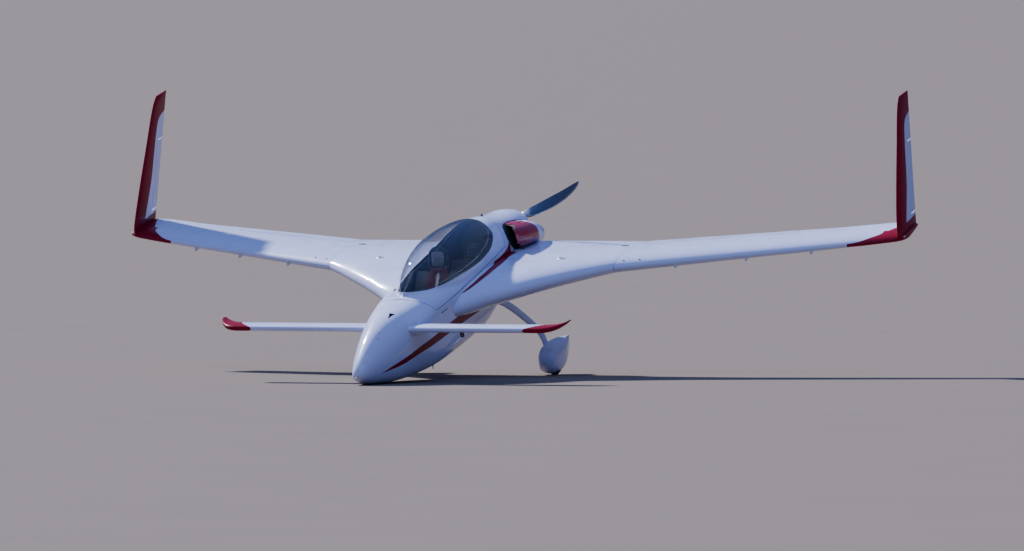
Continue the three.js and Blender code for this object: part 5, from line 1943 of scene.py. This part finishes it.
@dataclass
class MainGear(Assembly):
    """The moulded gear bow, its axles, and each side's wheel, tyre and pant."""

    hub: Triple = (710.0, 2775.0, -507.0)
    leg: Rows = (
        (640, -525, 64, 28), (640, -450, 74, 34), (626, -350, 88, 40), (592, -262, 98, 43),
        (520, -178, 108, 45), (420, -88, 118, 47), (310, -4, 124, 49), (200, 46, 124, 48),
        (0, 62, 120, 44))
    pant: Rows = (
        (2520, 8, -480, -468, -492), (2538, 46, -480, -430, -530), (2580, 78, -478, -396, -580),
        (2660, 90, -474, -350, -612), (2800, 92, -470, -336, -626), (2920, 82, -464, -342, -610),
        (3040, 56, -452, -356, -566), (3140, 28, -440, -372, -520), (3215, 5, -430, -386, -486))
    pant_x: float = 697.0
    radius: float = 142.0
    half: float = 46.0
    rim: float = 66.0

    def bow(self) -> Form:
        """The gear bow from axle to axle."""
        mirrored = [(-x, z, chord, thick) for x, z, chord, thick in self.leg[-2::-1]]
        line = spline((*self.leg, *mirrored), 6)
        along = np.gradient(line[:, :2], axis=0)
        along /= np.linalg.norm(along, axis=1)[:, None]
        c, s = circle(40)
        rings = []
        for (x, z, chord, thick), (dx, dz) in zip(line, along):
            across = thick / 2 * s
            rings.append(np.column_stack((x - dz * across, self.hub[1] + chord / 2 * c, z + dx * across)))
        return Form.loft(rings)

    def pant_body(self, side: int, inset: float) -> Form:
        """The wheel pant's surface.

        Args:
            side: 1 for port, -1 for starboard.
            inset: How far it is drawn inwards.

        Returns:
            A closed form.
        """
        curves, rings = Curves(self.pant), []
        for y in curves.steps(14):
            half, middle, top, bottom = curves.at(y)
            rings.append(rounded_ring(
                y + (inset if y < 2521 else 0), side * self.pant_x, max(2.0, half - inset), middle,
                max(top - inset, middle + 2), min(bottom + inset, middle - 2), 3.2, 3.0, 84))
        return Form.loft(rings)

    def build(self) -> None:
        """Makes the bow and both wheels."""
        self.piece("gear_bow", self.bow(), GlossPaint(trimmed=False), "main_gear_bow")
        for name, side in SIDES:
            self.build_wheel(name, side)

    def build_wheel(self, name: str, side: int) -> None:
        """Makes one side's tyre, rim, axle and pant.

        Args:
            name: The side in the pieces' names.
            side: 1 for port, -1 for starboard.
        """
        body = Body(f"wheel_{name}")
        hub = (side * self.hub[0], *self.hub[1:])
        tyre = tyre_form(self.rim + 0.3, self.radius, self.half, hub)
        self.piece(f"main_tyre_{name}", tyre, Rubber(), f"tyre_{name}", body=body)
        rim = rim_form(self.rim, self.half, 12.6, hub)
        self.piece(f"main_rim_{name}", rim, BareMetal(), f"rim_{name}", body=body)
        axle = Form.lathe(((0, -65), (12, -65), (12, 48), (9, 51), (0, 51)), self.hub, Axis.X, 32)
        nut = Form.lathe(((12.2, 46.5), (17, 46.5), (17, 49.5), (12.2, 49.5)), self.hub, Axis.X, 6)
        if side < 0:
            axle, nut = axle.mirrored(), nut.mirrored()
        self.piece(f"main_axle_{name}", (axle, nut), Steel(), f"axle_{name}")
        whole, inner = self.pant_body(side, 0), self.pant_body(side, 4)
        slot = Form.box((side * 640, hub[1] - 130, -720), (side * 765, hub[1] + 135, -560), 12, 4)
        pant = self.solid(whole).cut(inner, slot)
        paint = GlossPaint(trimmed=False)
        self.piece(f"pant_{name}", pant, (paint, CabinTrim(), paint), f"wheel_pant_{name}", (whole, inner))


def tyre_form(seat: float, radius: float, half: float, hub: Triple) -> Form:
    """A small aircraft tyre with round shoulders, three tread grooves and a bead.

    Args:
        seat: Radius of its seat on the rim.
        radius: Outer radius.
        half: Half width.
        hub: Its middle.

    Returns:
        The tyre.
    """
    shoulder = [(radius - (radius - seat) * (1 - math.cos(t)) * 0.62, half * math.sin(t)) for t in
                np.linspace(math.radians(30), math.radians(90), 10)]
    grooves = ((4.0, 0.0), (4.0, 2.0), (0.4, 2.8), (0.4, 10.0), (4.0, 10.8), (4.0, 14.0), (0.8, 14.8))
    tread = [*((radius - deep, at) for deep, at in grooves), (radius - 1.0, half * 0.46)]
    wall = [(seat + (radius - seat) * 0.30, half * 0.97), (seat + 9, half * 0.80), (seat + 7, half * 0.74),
            (seat + 2, half * 0.70), (seat, half * 0.60)]
    one = [*tread, *shoulder, *wall]
    profile = [(r, -at) for r, at in reversed(one[1:])] + one
    return Form.lathe(profile, hub, Axis.X, 96)


def rim_form(rim: float, half: float, bore: float, hub: Triple) -> Form:
    """A two-piece wheel with flanges, a dished web and through bolts.

    Args:
        rim: Radius of its tyre seat.
        half: Half width of the tyre.
        bore: Radius of its bore.
        hub: Its middle.

    Returns:
        The wheel.
    """
    radii = (rim, rim - 1, rim - 5, rim - 9, rim - 13, rim * 0.55, rim * 0.42, rim * 0.40, rim * 0.34, bore)
    widths = (0.50, 0.56, 0.58, 0.50, 0.34, 0.30, 0.46, 0.66, 0.70, 0.70)
    side = [(r, half * at) for r, at in zip(radii, widths)]
    profile = [(r, -at) for r, at in reversed(side)] + side
    bolt = ((0, -half * 0.42), (5, -half * 0.42), (5, half * 0.42), (0, half * 0.42))
    return Form.gathered([Form.lathe(profile, hub, Axis.X, 72), *Form.bolts(bolt, hub, Axis.X, rim * 0.7)])


@dataclass
class NoseGear(Assembly):
    """The nose gear folded up into its belly well."""

    hub: Triple = (0.0, 1010.0, -30.0)
    pivot: Pair = (400.0, 30.0)
    radius: float = 118.0
    half: float = 34.0
    rim: float = 54.0

    def build(self) -> None:
        """Makes the nose wheel and its gear."""
        tyre = tyre_form(self.rim + 0.3, self.radius, self.half, self.hub)
        self.piece("nose_wheel_tyre", tyre, Rubber(), "nose_tyre", body=Body.NOSE_WHEEL)
        rim = rim_form(self.rim, self.half, 8.6, self.hub)
        self.piece("nose_wheel_rim", rim, BareMetal(), "nose_rim", body=Body.NOSE_WHEEL)
        _, y, z = self.hub
        py, pz = self.pivot
        outline = [(y + 22, z - 16), (y + 22, z + 16), (y + 14, z + 22), (y - 150, z + 52), (y - 150, z + 10),
                   (y + 14, z - 22)]
        arms = [Form.slab(outline, Axis.X, x - 4, x + 4, 1.5, 2) for x in (-46, 46)]
        head = Form.box((-50, y - 165, z + 5), (50, y - 135, z + 55), 5, 3)
        strut = Form.rod([(0, py, pz), (0, py + 200, pz - 10), (0, y - 150, z + 28)], (22, 20, 18), 40)
        collar = Form.rod([(0, py + 380, pz - 24), (0, py + 420, pz - 27)], 24, 40)
        tube = Form.rod([(-61.7, py, pz), (61.7, py, pz)], 16, 40)
        axle = Form.rod([(-56, y, z), (56, y, z)], 8, 32)
        self.piece("nose_gear_leg", (*arms, head, strut, collar, tube, axle), Steel(), "nose_gear")


@dataclass
class LandingBrake(Assembly):
    """The belly panel that swings down from its front edge."""

    fuselage: Fuselage

    def build(self) -> None:
        """Makes the panel with its hinge bar."""
        host = self.fuselage
        start, end, half = host.brake
        floor = host.belly_slab(start, end, host.brake_depth, half)
        panel = self.solid(host.hull.body(start - 60, end + 60)).keep(floor)
        panel.add(host.brake_rod(half, 6), host.brake_rod(half + 22, 4))
        self.piece(
            "brake_panel", panel, GlossPaint(trimmed=False), "landing_brake", (host.skin,),
            body=Body.LANDING_BRAKE)


@dataclass
class Cushion(Assembly):
    """A stuffed pad with welted edges and sewn channels, shaped flat and then laid in its place."""

    name: str
    size: Triple
    origin: Triple
    along: Pair
    channels: tuple[float, ...] = ()
    cover: Finish = Cloth()
    cap: float = 7.0
    fill: float = 0.6
    voxel: float = 0.006
    pressure: float = 4.0
    frames: int = 20

    def flat(self) -> Form:
        """The pad before it is filled."""
        width, length, thick = np.array(self.size) - self.cap * np.array((1, 1, 2))
        outline = rounded_square(width, length, 56)
        return Form.slab(outline, Axis.Z, -thick / 2, thick / 2, thick * 0.42, 4)

    def stuffed(self, mesh: bpy.types.Mesh) -> bpy.types.Mesh:
        """Fills the pad by cloth simulation, no point moving further than the cap.

        Args:
            mesh: The flat pad, in metres about its middle.

        Returns:
            The filled pad.
        """
        scene, graph = bpy.context.scene, bpy.context.evaluated_depsgraph_get
        pad = bpy.data.objects.new("pad", mesh)
        scene.collection.objects.link(pad)
        remesh = pad.modifiers.new("remesh", "REMESH")
        remesh.mode, remesh.voxel_size = "VOXEL", self.voxel
        fine = bpy.data.meshes.new_from_object(pad.evaluated_get(graph()), depsgraph=graph())
        pad.modifiers.clear()
        pad.data = fine
        start = np.array([vertex.co[:] for vertex in fine.vertices])
        cloth = pad.modifiers.new("cloth", "CLOTH")
        cloth.settings.use_pressure = True
        cloth.settings.uniform_pressure_force = self.pressure
        cloth.settings.effector_weights.gravity = 0.0
        for frame in range(1, self.frames + 1):
            scene.frame_set(frame)
        moved = pad.evaluated_get(graph()).to_mesh()
        shift = np.array([vertex.co[:] for vertex in moved.vertices]) - start
        far = np.linalg.norm(shift, axis=1)[:, None]
        start += shift * np.minimum(1, self.cap / 1000 / np.maximum(far, 1e-9))
        pad.modifiers.clear()
        scene.frame_set(1)
        fine.vertices.foreach_set("co", start.ravel())
        smooth = pad.modifiers.new("smooth", "SUBSURF")
        smooth.levels = 1
        done = bpy.data.meshes.new_from_object(pad.evaluated_get(graph()), depsgraph=graph())
        bpy.data.objects.remove(pad)
        return done

    def lay(self, points: np.ndarray) -> np.ndarray:
        """Moves flat points, in millimetres, to the pad's place on the aircraft."""
        y, z = np.array(self.along) / math.hypot(*self.along)
        across, length, up = points.T
        return np.column_stack((across, length * y - up * z, length * z + up * y)) + self.origin

    def build(self) -> None:
        """Makes the pad and its welt."""
        form = self.flat()
        mesh = bpy.data.meshes.new("pad")
        mesh.from_pydata((form.points / 1000).tolist(), [], form.faces)
        mesh = self.stuffed(mesh)
        points = np.array([vertex.co[:] for vertex in mesh.vertices]) * 1000
        width, length, thick = self.size
        inner = np.clip((width / 2 - np.abs(points[:, 0])) / 25, 0, 1) * np.clip(
            (length / 2 - np.abs(points[:, 1])) / 25, 0, 1)
        for at in self.channels:
            groove = np.exp(-(((points[:, 1] - at * length) / 7) ** 2))
            points[:, 2] -= 0.16 * thick * groove * inner * (points[:, 2] > 0)
        mesh.vertices.foreach_set("co", self.stance.metres(self.lay(points)).ravel())
        mesh.shade_smooth()
        made = self.dressed(self.name, mesh, (self.cover,), Body.AIRFRAME)
        path = np.pad(rounded_square(width - 4, length - 4, 64), ((0, 0), (0, 1)))
        welt = Form.rod(self.lay(path), 2.6, 8, True)
        self.piece(f"{self.name}_welt", welt, Cloth(colour=(0.05, 0.045, 0.05, 1.0)))


def strap(path: Sequence[Sequence[float]], across: Sequence[float], width: float, thick: float = 2.4) -> Form:
    """A flat webbing strap along a path.

    Args:
        path: Its middle line.
        across: Direction of its width.
        width: Its width.
        thick: Its thickness.

    Returns:
        The strap.
    """
    line, wide = np.array(path, float), np.array(across, float)
    along = np.gradient(line, axis=0)
    along /= np.linalg.norm(along, axis=1)[:, None]
    corners = ((1, 0.6), (0.96, 1), (-0.96, 1), (-1, 0.6), (-1, -0.6), (-0.96, -1), (0.96, -1), (1, -0.6))
    rings = []
    for point, way in zip(line, along):
        up = np.cross(wide, way)
        rings.append(np.array([point + wide * width / 2 * i + up * thick / 2 * j for i, j in corners]))
    return Form.loft(rings)


@dataclass
class Cabin(Assembly):
    """The seats, belts, panel, consoles and firewall that show through the glass."""

    fuselage: Fuselage
    faded_red: Colour = (0.30, 0.055, 0.075, 1.0)
    pale_grey: Colour = (0.30, 0.31, 0.33, 1.0)
    front_seat: Rows = (
        (1180, -110), (1190, -60), (1462, -46), (1490, -30), (1850, 570), (1862, 566), (1850, 545),
        (1494, -50), (1490, -110))
    rear_seat: Rows = (
        (2180, -50), (2190, 8), (2416, 8), (2446, 26), (2752, 452), (2766, 446), (2760, 420),
        (2450, -10), (2440, -50))
    shield: Rows = (
        (990, 492), (1010, 505), (1182, 522), (1196, 521), (1200, 515), (1194, 511), (1176, 513),
        (1000, 494))

    def build(self) -> None:
        """Makes the cabin fittings."""
        hull = self.fuselage.hull
        room = hull.body(272, hull.firewall + 6, 20.5)
        wall = self.solid(Form.box((-300, 3138, -200), (300, 3150, 1000))).keep(room)
        self.piece("firewall_sheet", wall, BareMetal(rough=0.42), "firewall")
        self.build_seats(room)
        self.build_cushions()
        self.build_belts()
        self.build_panel()
        self.build_consoles(room)

    def build_seats(self, room: Form) -> None:
        """Makes the moulded seats and the roll hoop.

        Args:
            room: The inside of the fuselage.
        """
        front = self.solid(Form.slab(self.front_seat, Axis.X, -225, 225, 3, 2)).keep(room)
        rear = self.solid(Form.slab(self.rear_seat, Axis.X, -220, 220, 3, 2)).keep(room)
        shell = CabinTrim(colour=(0.05, 0.05, 0.056, 1.0), rough=0.5)
        self.piece("seat_shell_rear", rear, shell, "rear_seat")
        turns = np.linspace(0, math.pi, 19)
        arch = [(-90 * math.cos(t), 1846, 700 + 100 * math.sin(t)) for t in turns]
        hoop = Form.rod([(-90, 1846, 540), *arch, (90, 1846, 540)], 11, 24)
        brace = Form.rod([(-86, 1846, 610), (86, 1846, 610)], 6, 16)
        self.piece("seat_shell_front", front, shell, "front_seat")
        self.piece("roll_hoop", (hoop, brace), CabinTrim(colour=(0.008, 0.008, 0.010, 1.0), rough=0.35))

    def build_cushions(self) -> None:
        """Makes the seat, back and head cushions."""
        grey = Cloth(colour=self.pale_grey, pale=(0.55, 0.56, 0.60, 1.0))
        red = Cloth(colour=self.faded_red, pale=(0.55, 0.30, 0.33, 1.0))
        backs = (-0.3, -0.1, 0.1, 0.3)
        rows = (
            ("front_seat", (420, 262, 46), (0, 1325, -32), (270, 14), (-0.17, 0.17)),
            ("front_back", (390, 600, 30), (0, 1668, 264), (380, 593), backs),
            ("head", (128, 146, 38), (0, 1832, 690), (0.01, 1), (0.0,), grey),
            ("shoulder", (168, 44, 24), (6, 1842, 586), (0.25, 1), (), red, 4.0),
            ("rear_seat", (400, 224, 40), (0, 2306, 30), (230, 0.01), (-0.17, 0.17)),
            ("rear_back", (380, 440, 34), (0, 2590, 246), (340, 430), backs),
            ("rear_head", (132, 160, 34), (0, 2748, 540), (0.22, 1), (0.0,)))
        for name, *rest in rows:
            Cushion(self.stance, f"cushion_{name}", *rest).build()

    def build_belts(self) -> None:
        """Makes the shoulder and lap straps and their buckle."""
        webbing = Cloth(colour=(0.20, 0.02, 0.035, 1.0), pale=(0.34, 0.08, 0.10, 1.0), threads=5200.0)
        straps = []
        for side in (-1, 1):
            slope = [(side * (62 + 20 * math.sin(math.pi * t)), 1500 + 340 * t - 19, 38 + 530 * t + 10)
                     for t in np.linspace(0.02, 1.0, 16)]
            straps.append(strap([*slope, (side * 60, 1848, 592), (side * 60, 1862, 575)], (1, 0, 0), 44))
            lap = [(side * x, 1440 - 0.12 * (200 - x) - 10, z) for x, z in
                   ((205, -36), (196, 0), (170, 8), (120, 5), (60, 8), (26, 14))]
            straps.append(strap(lap, (0, 0.9, 0.43), 44))
        self.piece("seat_belts", straps, webbing)
        case = Form.box((-32, 1396, 10), (32, 1442, 22), 4, 3)
        button = Form.box((-14, 1402, 20), (14, 1436, 26), 2, 2)
        self.piece("belt_buckle", (case, button), Steel())

    def build_panel(self) -> None:
        """Makes the instrument panel with its dials, switches and glare shield."""
        hull = self.fuselage.hull
        board = self.solid(Form.box((-300, 1180, 150), (300, 1192, 520), 2, 2)).keep(
            hull.body(272, hull.firewall, 25.5))
        self.piece("panel_board", board, CabinTrim(colour=(0.06, 0.06, 0.068, 1.0)), "instrument_panel")
        shield = self.solid(Form.slab(self.shield, Axis.X, -300, 300, 1.5, 2)).keep(
            hull.body(272, hull.firewall, 24))
        self.piece("glare_shield", shield, CabinTrim(rough=0.75))
        bezels, faces, marks = [], [], []
        dials = [(x, z, 36) for z in (455, 372) for x in (-120, -40, 40)]
        dials += [(x, z, 26) for z in (300, 240) for x in (-92, -30, 32)]
        for x, z, size in dials:
            at = (x, 1192, z)
            rim = ((size - 5, 0), (size + 2, 0), (size + 2, 4), (size - 2, 6.5), (size - 5, 5))
            bezels.append(Form.lathe(rim, at, Axis.Y, 40))
            faces.append(Form.lathe(((0, 0.2), (size - 5, 0.2), (size - 5, 2.2), (0, 2.2)), at, Axis.Y, 32))
            for k in range(12):
                mark = Form.box((x - 0.9, 1194.2, z + size - 15), (x + 0.9, 1194.9, z + size - 7.5))
                marks.append(mark.turned(30 * k, Axis.Y, at))
            needle = Form.box((x - 1.2, 1195.2, z - 6), (x + 1.2, 1196, z + size - 13))
            marks.append(needle.turned(37.0 * (x + z) % 360, Axis.Y, at))
        radios = (440, 398, 356, 314)
        stack = [Form.box((96, 1191.8, z), (222, 1196, z + 34), 2, 2) for z in radios]
        knobs = [Form.lathe(((0, 0), (7, 0), (6, 12), (0, 13)), (x, 1196, z + 17), Axis.Y, 20)
                 for z in radios for x in (108, 210)]
        screens = [Form.box((122, 1196, z + 8), (196, 1196.8, z + 26)) for z in radios]
        switches = [Form.rod([(x, 1191.5, 186), (x, 1206, 190)], (3.2, 2.2), 12)
                    for x in range(-120, 200, 26)]
        self.piece("dial_bezels", (*bezels, *stack, *knobs), CabinTrim(rough=0.4))
        self.piece(
            "dial_faces", (*faces, *screens), CabinTrim(colour=(0.012, 0.013, 0.016, 1.0), rough=0.3))
        self.piece("dial_marks", marks, CabinTrim(colour=(0.7, 0.7, 0.66, 1.0)))
        self.piece("panel_switches", switches, BareMetal())

    def build_consoles(self, room: Form) -> None:
        """Makes the side consoles, the side stick and the throttle.

        Args:
            room: The inside of the fuselage.
        """
        for name, side in SIDES:
            shelf = self.solid(Form.box((side * 228, 1200, 120), (side * 300, 2150, 200), 6, 3)).keep(room)
            self.piece(f"console_shelf_{name}", shelf, CabinTrim(), f"console_{name}")
        boot = Form.lathe(((0, -2), (26, -2), (25, 4), (20, 9), (21, 13), (14, 19), (13, 24), (0, 24)),
                          (-252, 1400, 200), Axis.Z, 40)
        line = ((-252, 1400, 218), (-250, 1394, 248), (-248, 1388, 276), (-247, 1386, 300), (-246, 1388, 316),
                (-246, 1391, 322))
        grip = Form.rod(line, (10, 15, 16, 15, 13, 8), 24)
        self.piece("side_stick", (boot, grip), Rubber())
        quadrant = Form.box((240, 1350, 199), (262, 1440, 214), 3, 3)
        tops = ((246, 1370), (256, 1348))
        ball = ((0, -9), (7, -8), (10, -2), (10, 3), (6, 9), (0, 10))
        levers = [Form.rod([(x, 1378, 210), (x, y, 262)], 3.2, 12) for x, y in tops]
        knobs = [Form.lathe(ball, (x, y, 270), Axis.Z, 24) for x, y in tops]
        self.piece("throttle", (quadrant, *levers), BareMetal())
        self.piece("throttle_knobs", knobs, CabinTrim(rough=0.35))


@dataclass
class Powerplant(Assembly):
    """The cowl, cheeks, engine and exhaust."""

    fuselage: Fuselage
    cheek: Rows = (
        (2965, 336, 490, 700), (3050, 372, 470, 704), (3200, 398, 450, 696), (3350, 400, 432, 675),
        (3500, 390, 415, 646), (3620, 372, 392, 606), (3735, 345, 365, 558))
    middle: float = 140.0
    wall: float = 8.0
    split: float = 470.0
    lip: Rows = (
        (3240, 420), (3125, 480), (3062, 515), (3010, 556), (2992, 588), (2989, 620), (2996, 652),
        (3020, 677), (3114, 694), (3200, 800), (3800, 800), (3800, 300))

    def cheek_body(self, side: int, inset: float) -> Form:
        """A cheek's surface.

        Args:
            side: 1 for port, -1 for starboard.
            inset: How far it is drawn inwards, its ends then reaching further.

        Returns:
            A closed form.
        """
        curves, rings = Curves(self.cheek), []
        further = {curves.places[0]: -5, curves.places[-1]: 8} if inset else {}
        for y in curves.steps(25):
            outer, low, high = curves.at(y)
            rings.append(rounded_ring(
                y + further.get(y, 0), side * self.middle, outer - inset - self.middle,
                (low + high) / 2, high - inset, low + inset, 3.0, 3.0, 96))
        return Form.loft(rings)

    def build(self) -> None:
        """Makes the cowl, the cheeks, the engine and the pipes."""
        hull = self.fuselage.hull
        start, end = hull.firewall + 0.4, hull.aft
        inside = hull.body(start - 10, end, self.wall)
        outlet = hull.body(end - 60, end, self.wall).moved((0, 30, 0))
        bay = Form.box((-400, 3200, 488), (400, 3480, 624), 20, 4)
        for label, low, high in (("upper", self.split + 0.6, 1000), ("lower", -100, self.split)):
            half = self.solid(hull.body(start, end)).cut(inside, outlet, bay)
            half.keep(Form.box((-600, start - 5, low), (600, end + 10, high)))
            self.piece(
                f"cowling_{label}", half, (GlossPaint(), CabinTrim(), GlossPaint()), f"cowl_{label}",
                (self.fuselage.skin, inside))
        for name, side in SIDES:
            whole, inner = self.cheek_body(side, 0), self.cheek_body(side, self.wall)
            cheek = self.solid(whole).cut(inner, hull.body(2800, end, 1.0))
            cheek.keep(Form.slab(self.lip, Axis.X, side * 150, side * 600))
            self.piece(
                f"cheek_{name}", cheek, (MaroonPaint(), CabinTrim(), MaroonPaint()), f"cowl_cheek_{name}",
                (whole, inner))
            # A dark sheet on the fuselage side inside each cheek's inlet: painted shade, so that the inlet
            # reads dark.
            over, under = hull.body(2900, end, -1.5), hull.body(2890, end, 2.0)
            shade_sheet = self.solid(self.cheek_body(side, -7)).keep(over).cut(under, bay)
            shade_sheet.keep(Form.slab(grown(self.lip, 26), Axis.X, side * 150, side * 600))
            self.piece(f"inlet_lining_{name}", shade_sheet, CabinTrim(rough=0.5), skins=(over,))
        self.build_engine()

    def build_engine(self) -> None:
        """Makes the crankcase, the finned cylinders, the mount and the exhaust pipes."""
        case = Form.box((-120, 3212, 440), (120, 3650, 636), 16, 4)
        mounts = [Form.rod([(sx * 110, 3150.5, 550 + sz * 80), (sx * 90, 3222, 550 + sz * 60)], 12, 24)
                  for sx in (-1, 1) for sz in (-1, 1)]
        fin = ((44, 0), (55, 0.8), (55, 3.2), (44, 4.2))
        fins = [(r, 122 + k * 9.5 + at) for k in range(15) for r, at in fin]
        barrel = ((0, 60), (40, 60), *fins, (40, 270), (0, 270))
        cylinders = []
        for y in (3285, 3395):
            one = Form.lathe(barrel, (0, y, 556), Axis.X, 56)
            head = Form.box((262, y - 52, 504), (322, y + 52, 608), 8, 3)
            cover = Form.box((320, y - 40, 512), (349, y + 40, 600), 9, 4)
            rods = [Form.rod([(110, y + d, 508), (270, y + d, 514)], 6, 16) for d in (-18, 18)]
            cylinders += [form for part in (one, head, cover, *rods) for form in (part, part.mirrored())]
        self.piece("engine_case", (case, *mounts), Casting(), "engine_block")
        self.piece("engine_cylinders", cylinders, Casting(colour=(0.3, 0.3, 0.31, 1.0)))
        for name, side in SIDES:
            bend = ((3560, 438), (3578, 412), (3620, 394), (3700, 392), (3766, 392))
            line = spline(tuple((side * 72, y, z) for y, z in bend), 6)
            bore = Form.rod([*line[3:-1], line[-1] + (0, 12, 0)], 17.5, 40)
            pipe = self.solid(Form.rod(line, 20, 40)).cut(bore)
            self.piece(f"exhaust_pipe_{name}", pipe, HeatedSteel(), f"exhaust_{name}")


@dataclass
class Propeller(Assembly):
    """The two scimitar blades, their hub, extension and spinner."""

    hub: Triple = (0.0, 3822.0, 556.0)
    angle: float = 27.0
    blade: Rows = (
        (40, 62, 44, 44, 0), (120, 78, 30, 40, -4), (240, 100, 20, 34, -16), (400, 108, 14, 26, -24),
        (560, 96, 10, 20, -20), (690, 70, 7, 17, -4), (765, 36, 4, 15, 14), (790, 12, 3, 15, 24))

    def blade_form(self) -> Form:
        """One blade, at the origin along X."""
        curves, rings = Curves(self.blade), []
        for r in curves.steps(16):
            chord, thick, angle, sweep = curves.at(r)
            beta = math.radians(angle)
            u, h = section(chord, thick, 20, 0.8).T
            along = u - chord / 2 + sweep
            rings.append(np.column_stack((
                np.full(len(u), r), along * math.sin(beta) + h * math.cos(beta),
                along * math.cos(beta) - h * math.sin(beta))))
        return Form.loft(rings)

    def build(self) -> None:
        """Makes the propeller."""
        profile = ((0, -32), (56, -32), (62, -26), (62, 26), (56, 32), (0, 32))
        disc = Form.lathe(profile, (0, 0, 0), Axis.Y, 72)
        blade = self.blade_form()
        hub = self.solid(disc.turned(-self.angle, Axis.Y).moved(self.hub))
        for turn in (0, 180):
            hub.add(blade.turned(turn, Axis.Y).turned(-self.angle, Axis.Y).moved(self.hub))
        self.piece("propeller_blades", hub, BladeFinish(), "propeller", body=Body.PROPELLER)
        tube = (
            (0, -171.7), (58, -171.7), (58, -160), (47, -156), (46, -50), (58, -44), (58, -32.3), (0, -32.3))
        bolt = ((0, -60), (7, -60), (7, -44), (0, -44))
        extension = [Form.lathe(tube, self.hub, Axis.Y, 64), *Form.bolts(bolt, self.hub, Axis.Y, 52)]
        self.piece("extension", extension, BareMetal(), "prop_extension", body=Body.PROPELLER)
        cone = [(72 * math.cos(t) ** 0.8, 46 + 92 * math.sin(t)) for t in np.linspace(0.2, 1.5, 12)]
        dome = ((0, 32.3), (72, 32.3), (72, 36), (71, 46), *cone, (0, 138))
        self.piece(
            "spinner_shell", Form.lathe(dome, self.hub, Axis.Y, 72),
            GlossPaint(trimmed=False), "spinner", body=Body.PROPELLER)


@dataclass
class Studio(Assembly):
    """The pale floor, the soft light and the camera at the photograph's angle."""

    azimuth: float = 20.48
    elevation: float = 1.45
    roll: float = -0.18
    distance: float = 105.8
    aim: Triple = (0.379, 0.6744, 0.924)
    lens: float = 400.0
    floor: float = 9000.0
    sun: Triple = (-1.04, 0.70, 1.0)
    sun_energy: float = 8.4
    overhead: Triple = (0.05, -0.45, 1.0)
    fill_energy: float = 0.4

    def build(self) -> None:
        """Makes the floor, the lights and the camera."""
        mesh = bpy.data.meshes.new("floor")
        rings = (12.0, 150.0, 1200.0, self.floor)
        count = 48
        points = [(0, 0, 0)] + [(r * c, r * s, 0) for r in rings for c, s in zip(*circle(count))]
        faces = [(0, 1 + k, 1 + (k + 1) % count) for k in range(count)]
        faces += [(a + k, a + count + k, a + count + (k + 1) % count, a + (k + 1) % count)
                  for a in range(1, (len(rings) - 1) * count, count) for k in range(count)]
        mesh.from_pydata(points, [], faces)
        floor = bpy.data.objects.new("studio_floor", mesh)
        bpy.context.scene.collection.objects.link(floor)
        mesh.materials.append(StudioFloor().material(self.stance))
        self.build_world()
        self.build_sun("key", self.sun, self.sun_energy, 2.5, (0.88, 0.90, 1.0))
        self.build_sun("overhead fill", self.overhead, self.fill_energy, 50.0, (0.72, 0.84, 1.0))
        self.build_camera()

    def build_world(self) -> None:
        """A soft bluish surround, paler low down."""
        world = bpy.data.worlds.new("surround")
        bpy.context.scene.world = world
        world.use_nodes = True
        world.node_tree.nodes.clear()
        board = Board(world.node_tree)
        up = board.node("SeparateXYZ", i0=board.node("TexCoord").outputs["Generated"]).outputs[2]
        sky = board.blend(board.step(up, 0.1, 0.95), (0.12, 0.17, 0.38, 1.0), (0.22, 0.42, 1.35, 1.0))
        light = board.node("Background", Color=sky, Strength=0.55)
        board.node("OutputWorld", Surface=light.outputs[0])

    @staticmethod
    def build_sun(name: str, towards: Sequence[float], energy: float, spread: float, colour: tuple) -> None:
        """Makes a distant lamp.

        Args:
            name: Its name.
            towards: The way to it.
            energy: Its strength.
            spread: How wide it looks, in degrees; a wide lamp has soft shadows.
            colour: Its colour.
        """
        data = bpy.data.lights.new(name, "SUN")
        data.energy, data.angle, data.color = energy, math.radians(spread), colour
        lamp = bpy.data.objects.new(name, data)
        bpy.context.scene.collection.objects.link(lamp)
        place = Vector(towards).normalized()
        lamp.location = place * 20
        lamp.rotation_euler = (-place).to_track_quat("-Z", "Y").to_euler()

    def build_camera(self) -> None:
        """The camera, very far off with a long lens."""
        a, e, r = (math.radians(value) for value in (self.azimuth, self.elevation, self.roll))
        back = Vector((math.sin(a) * math.cos(e), -math.cos(a) * math.cos(e), math.sin(e)))
        right = Vector((math.cos(a), math.sin(a), 0))
        up = back.cross(right)
        turned_right = right * math.cos(r) + up * math.sin(r)
        turned_up = up * math.cos(r) - right * math.sin(r)
        target = right * self.aim[0] + up * self.aim[2] + Vector((0, self.aim[1], 0))
        data = bpy.data.cameras.new("camera")
        data.lens, data.sensor_width, data.clip_end = self.lens, 36.0, 12000.0
        camera = bpy.data.objects.new("camera", data)
        bpy.context.scene.collection.objects.link(camera)
        axes = Matrix((turned_right, turned_up, back)).transposed()
        camera.matrix_world = Matrix.Translation(target + back * self.distance) @ axes.to_4x4()
        bpy.context.scene.camera = camera


def main() -> None:
    """Builds the dressed aircraft round the frame."""
    logging.basicConfig(level=logging.INFO, format="%(message)s")
    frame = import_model()
    stance = Stance.of_frame(frame["joints"], MainGear.hub)
    fuselage = Fuselage(stance, Hull())
    parts = [Studio(stance), fuselage, Canopy(stance, fuselage), Canard(stance)]
    parts += [WingSide(stance, fuselage, name, side) for name, side in SIDES]
    parts += [MainGear(stance), NoseGear(stance), LandingBrake(stance, fuselage), Cabin(stance, fuselage)]
    parts += [Powerplant(stance, fuselage), Propeller(stance)]
    for part in parts:
        part.build()
        log.info("built %s", type(part).__name__)


if __name__ == "__main__":
    main()
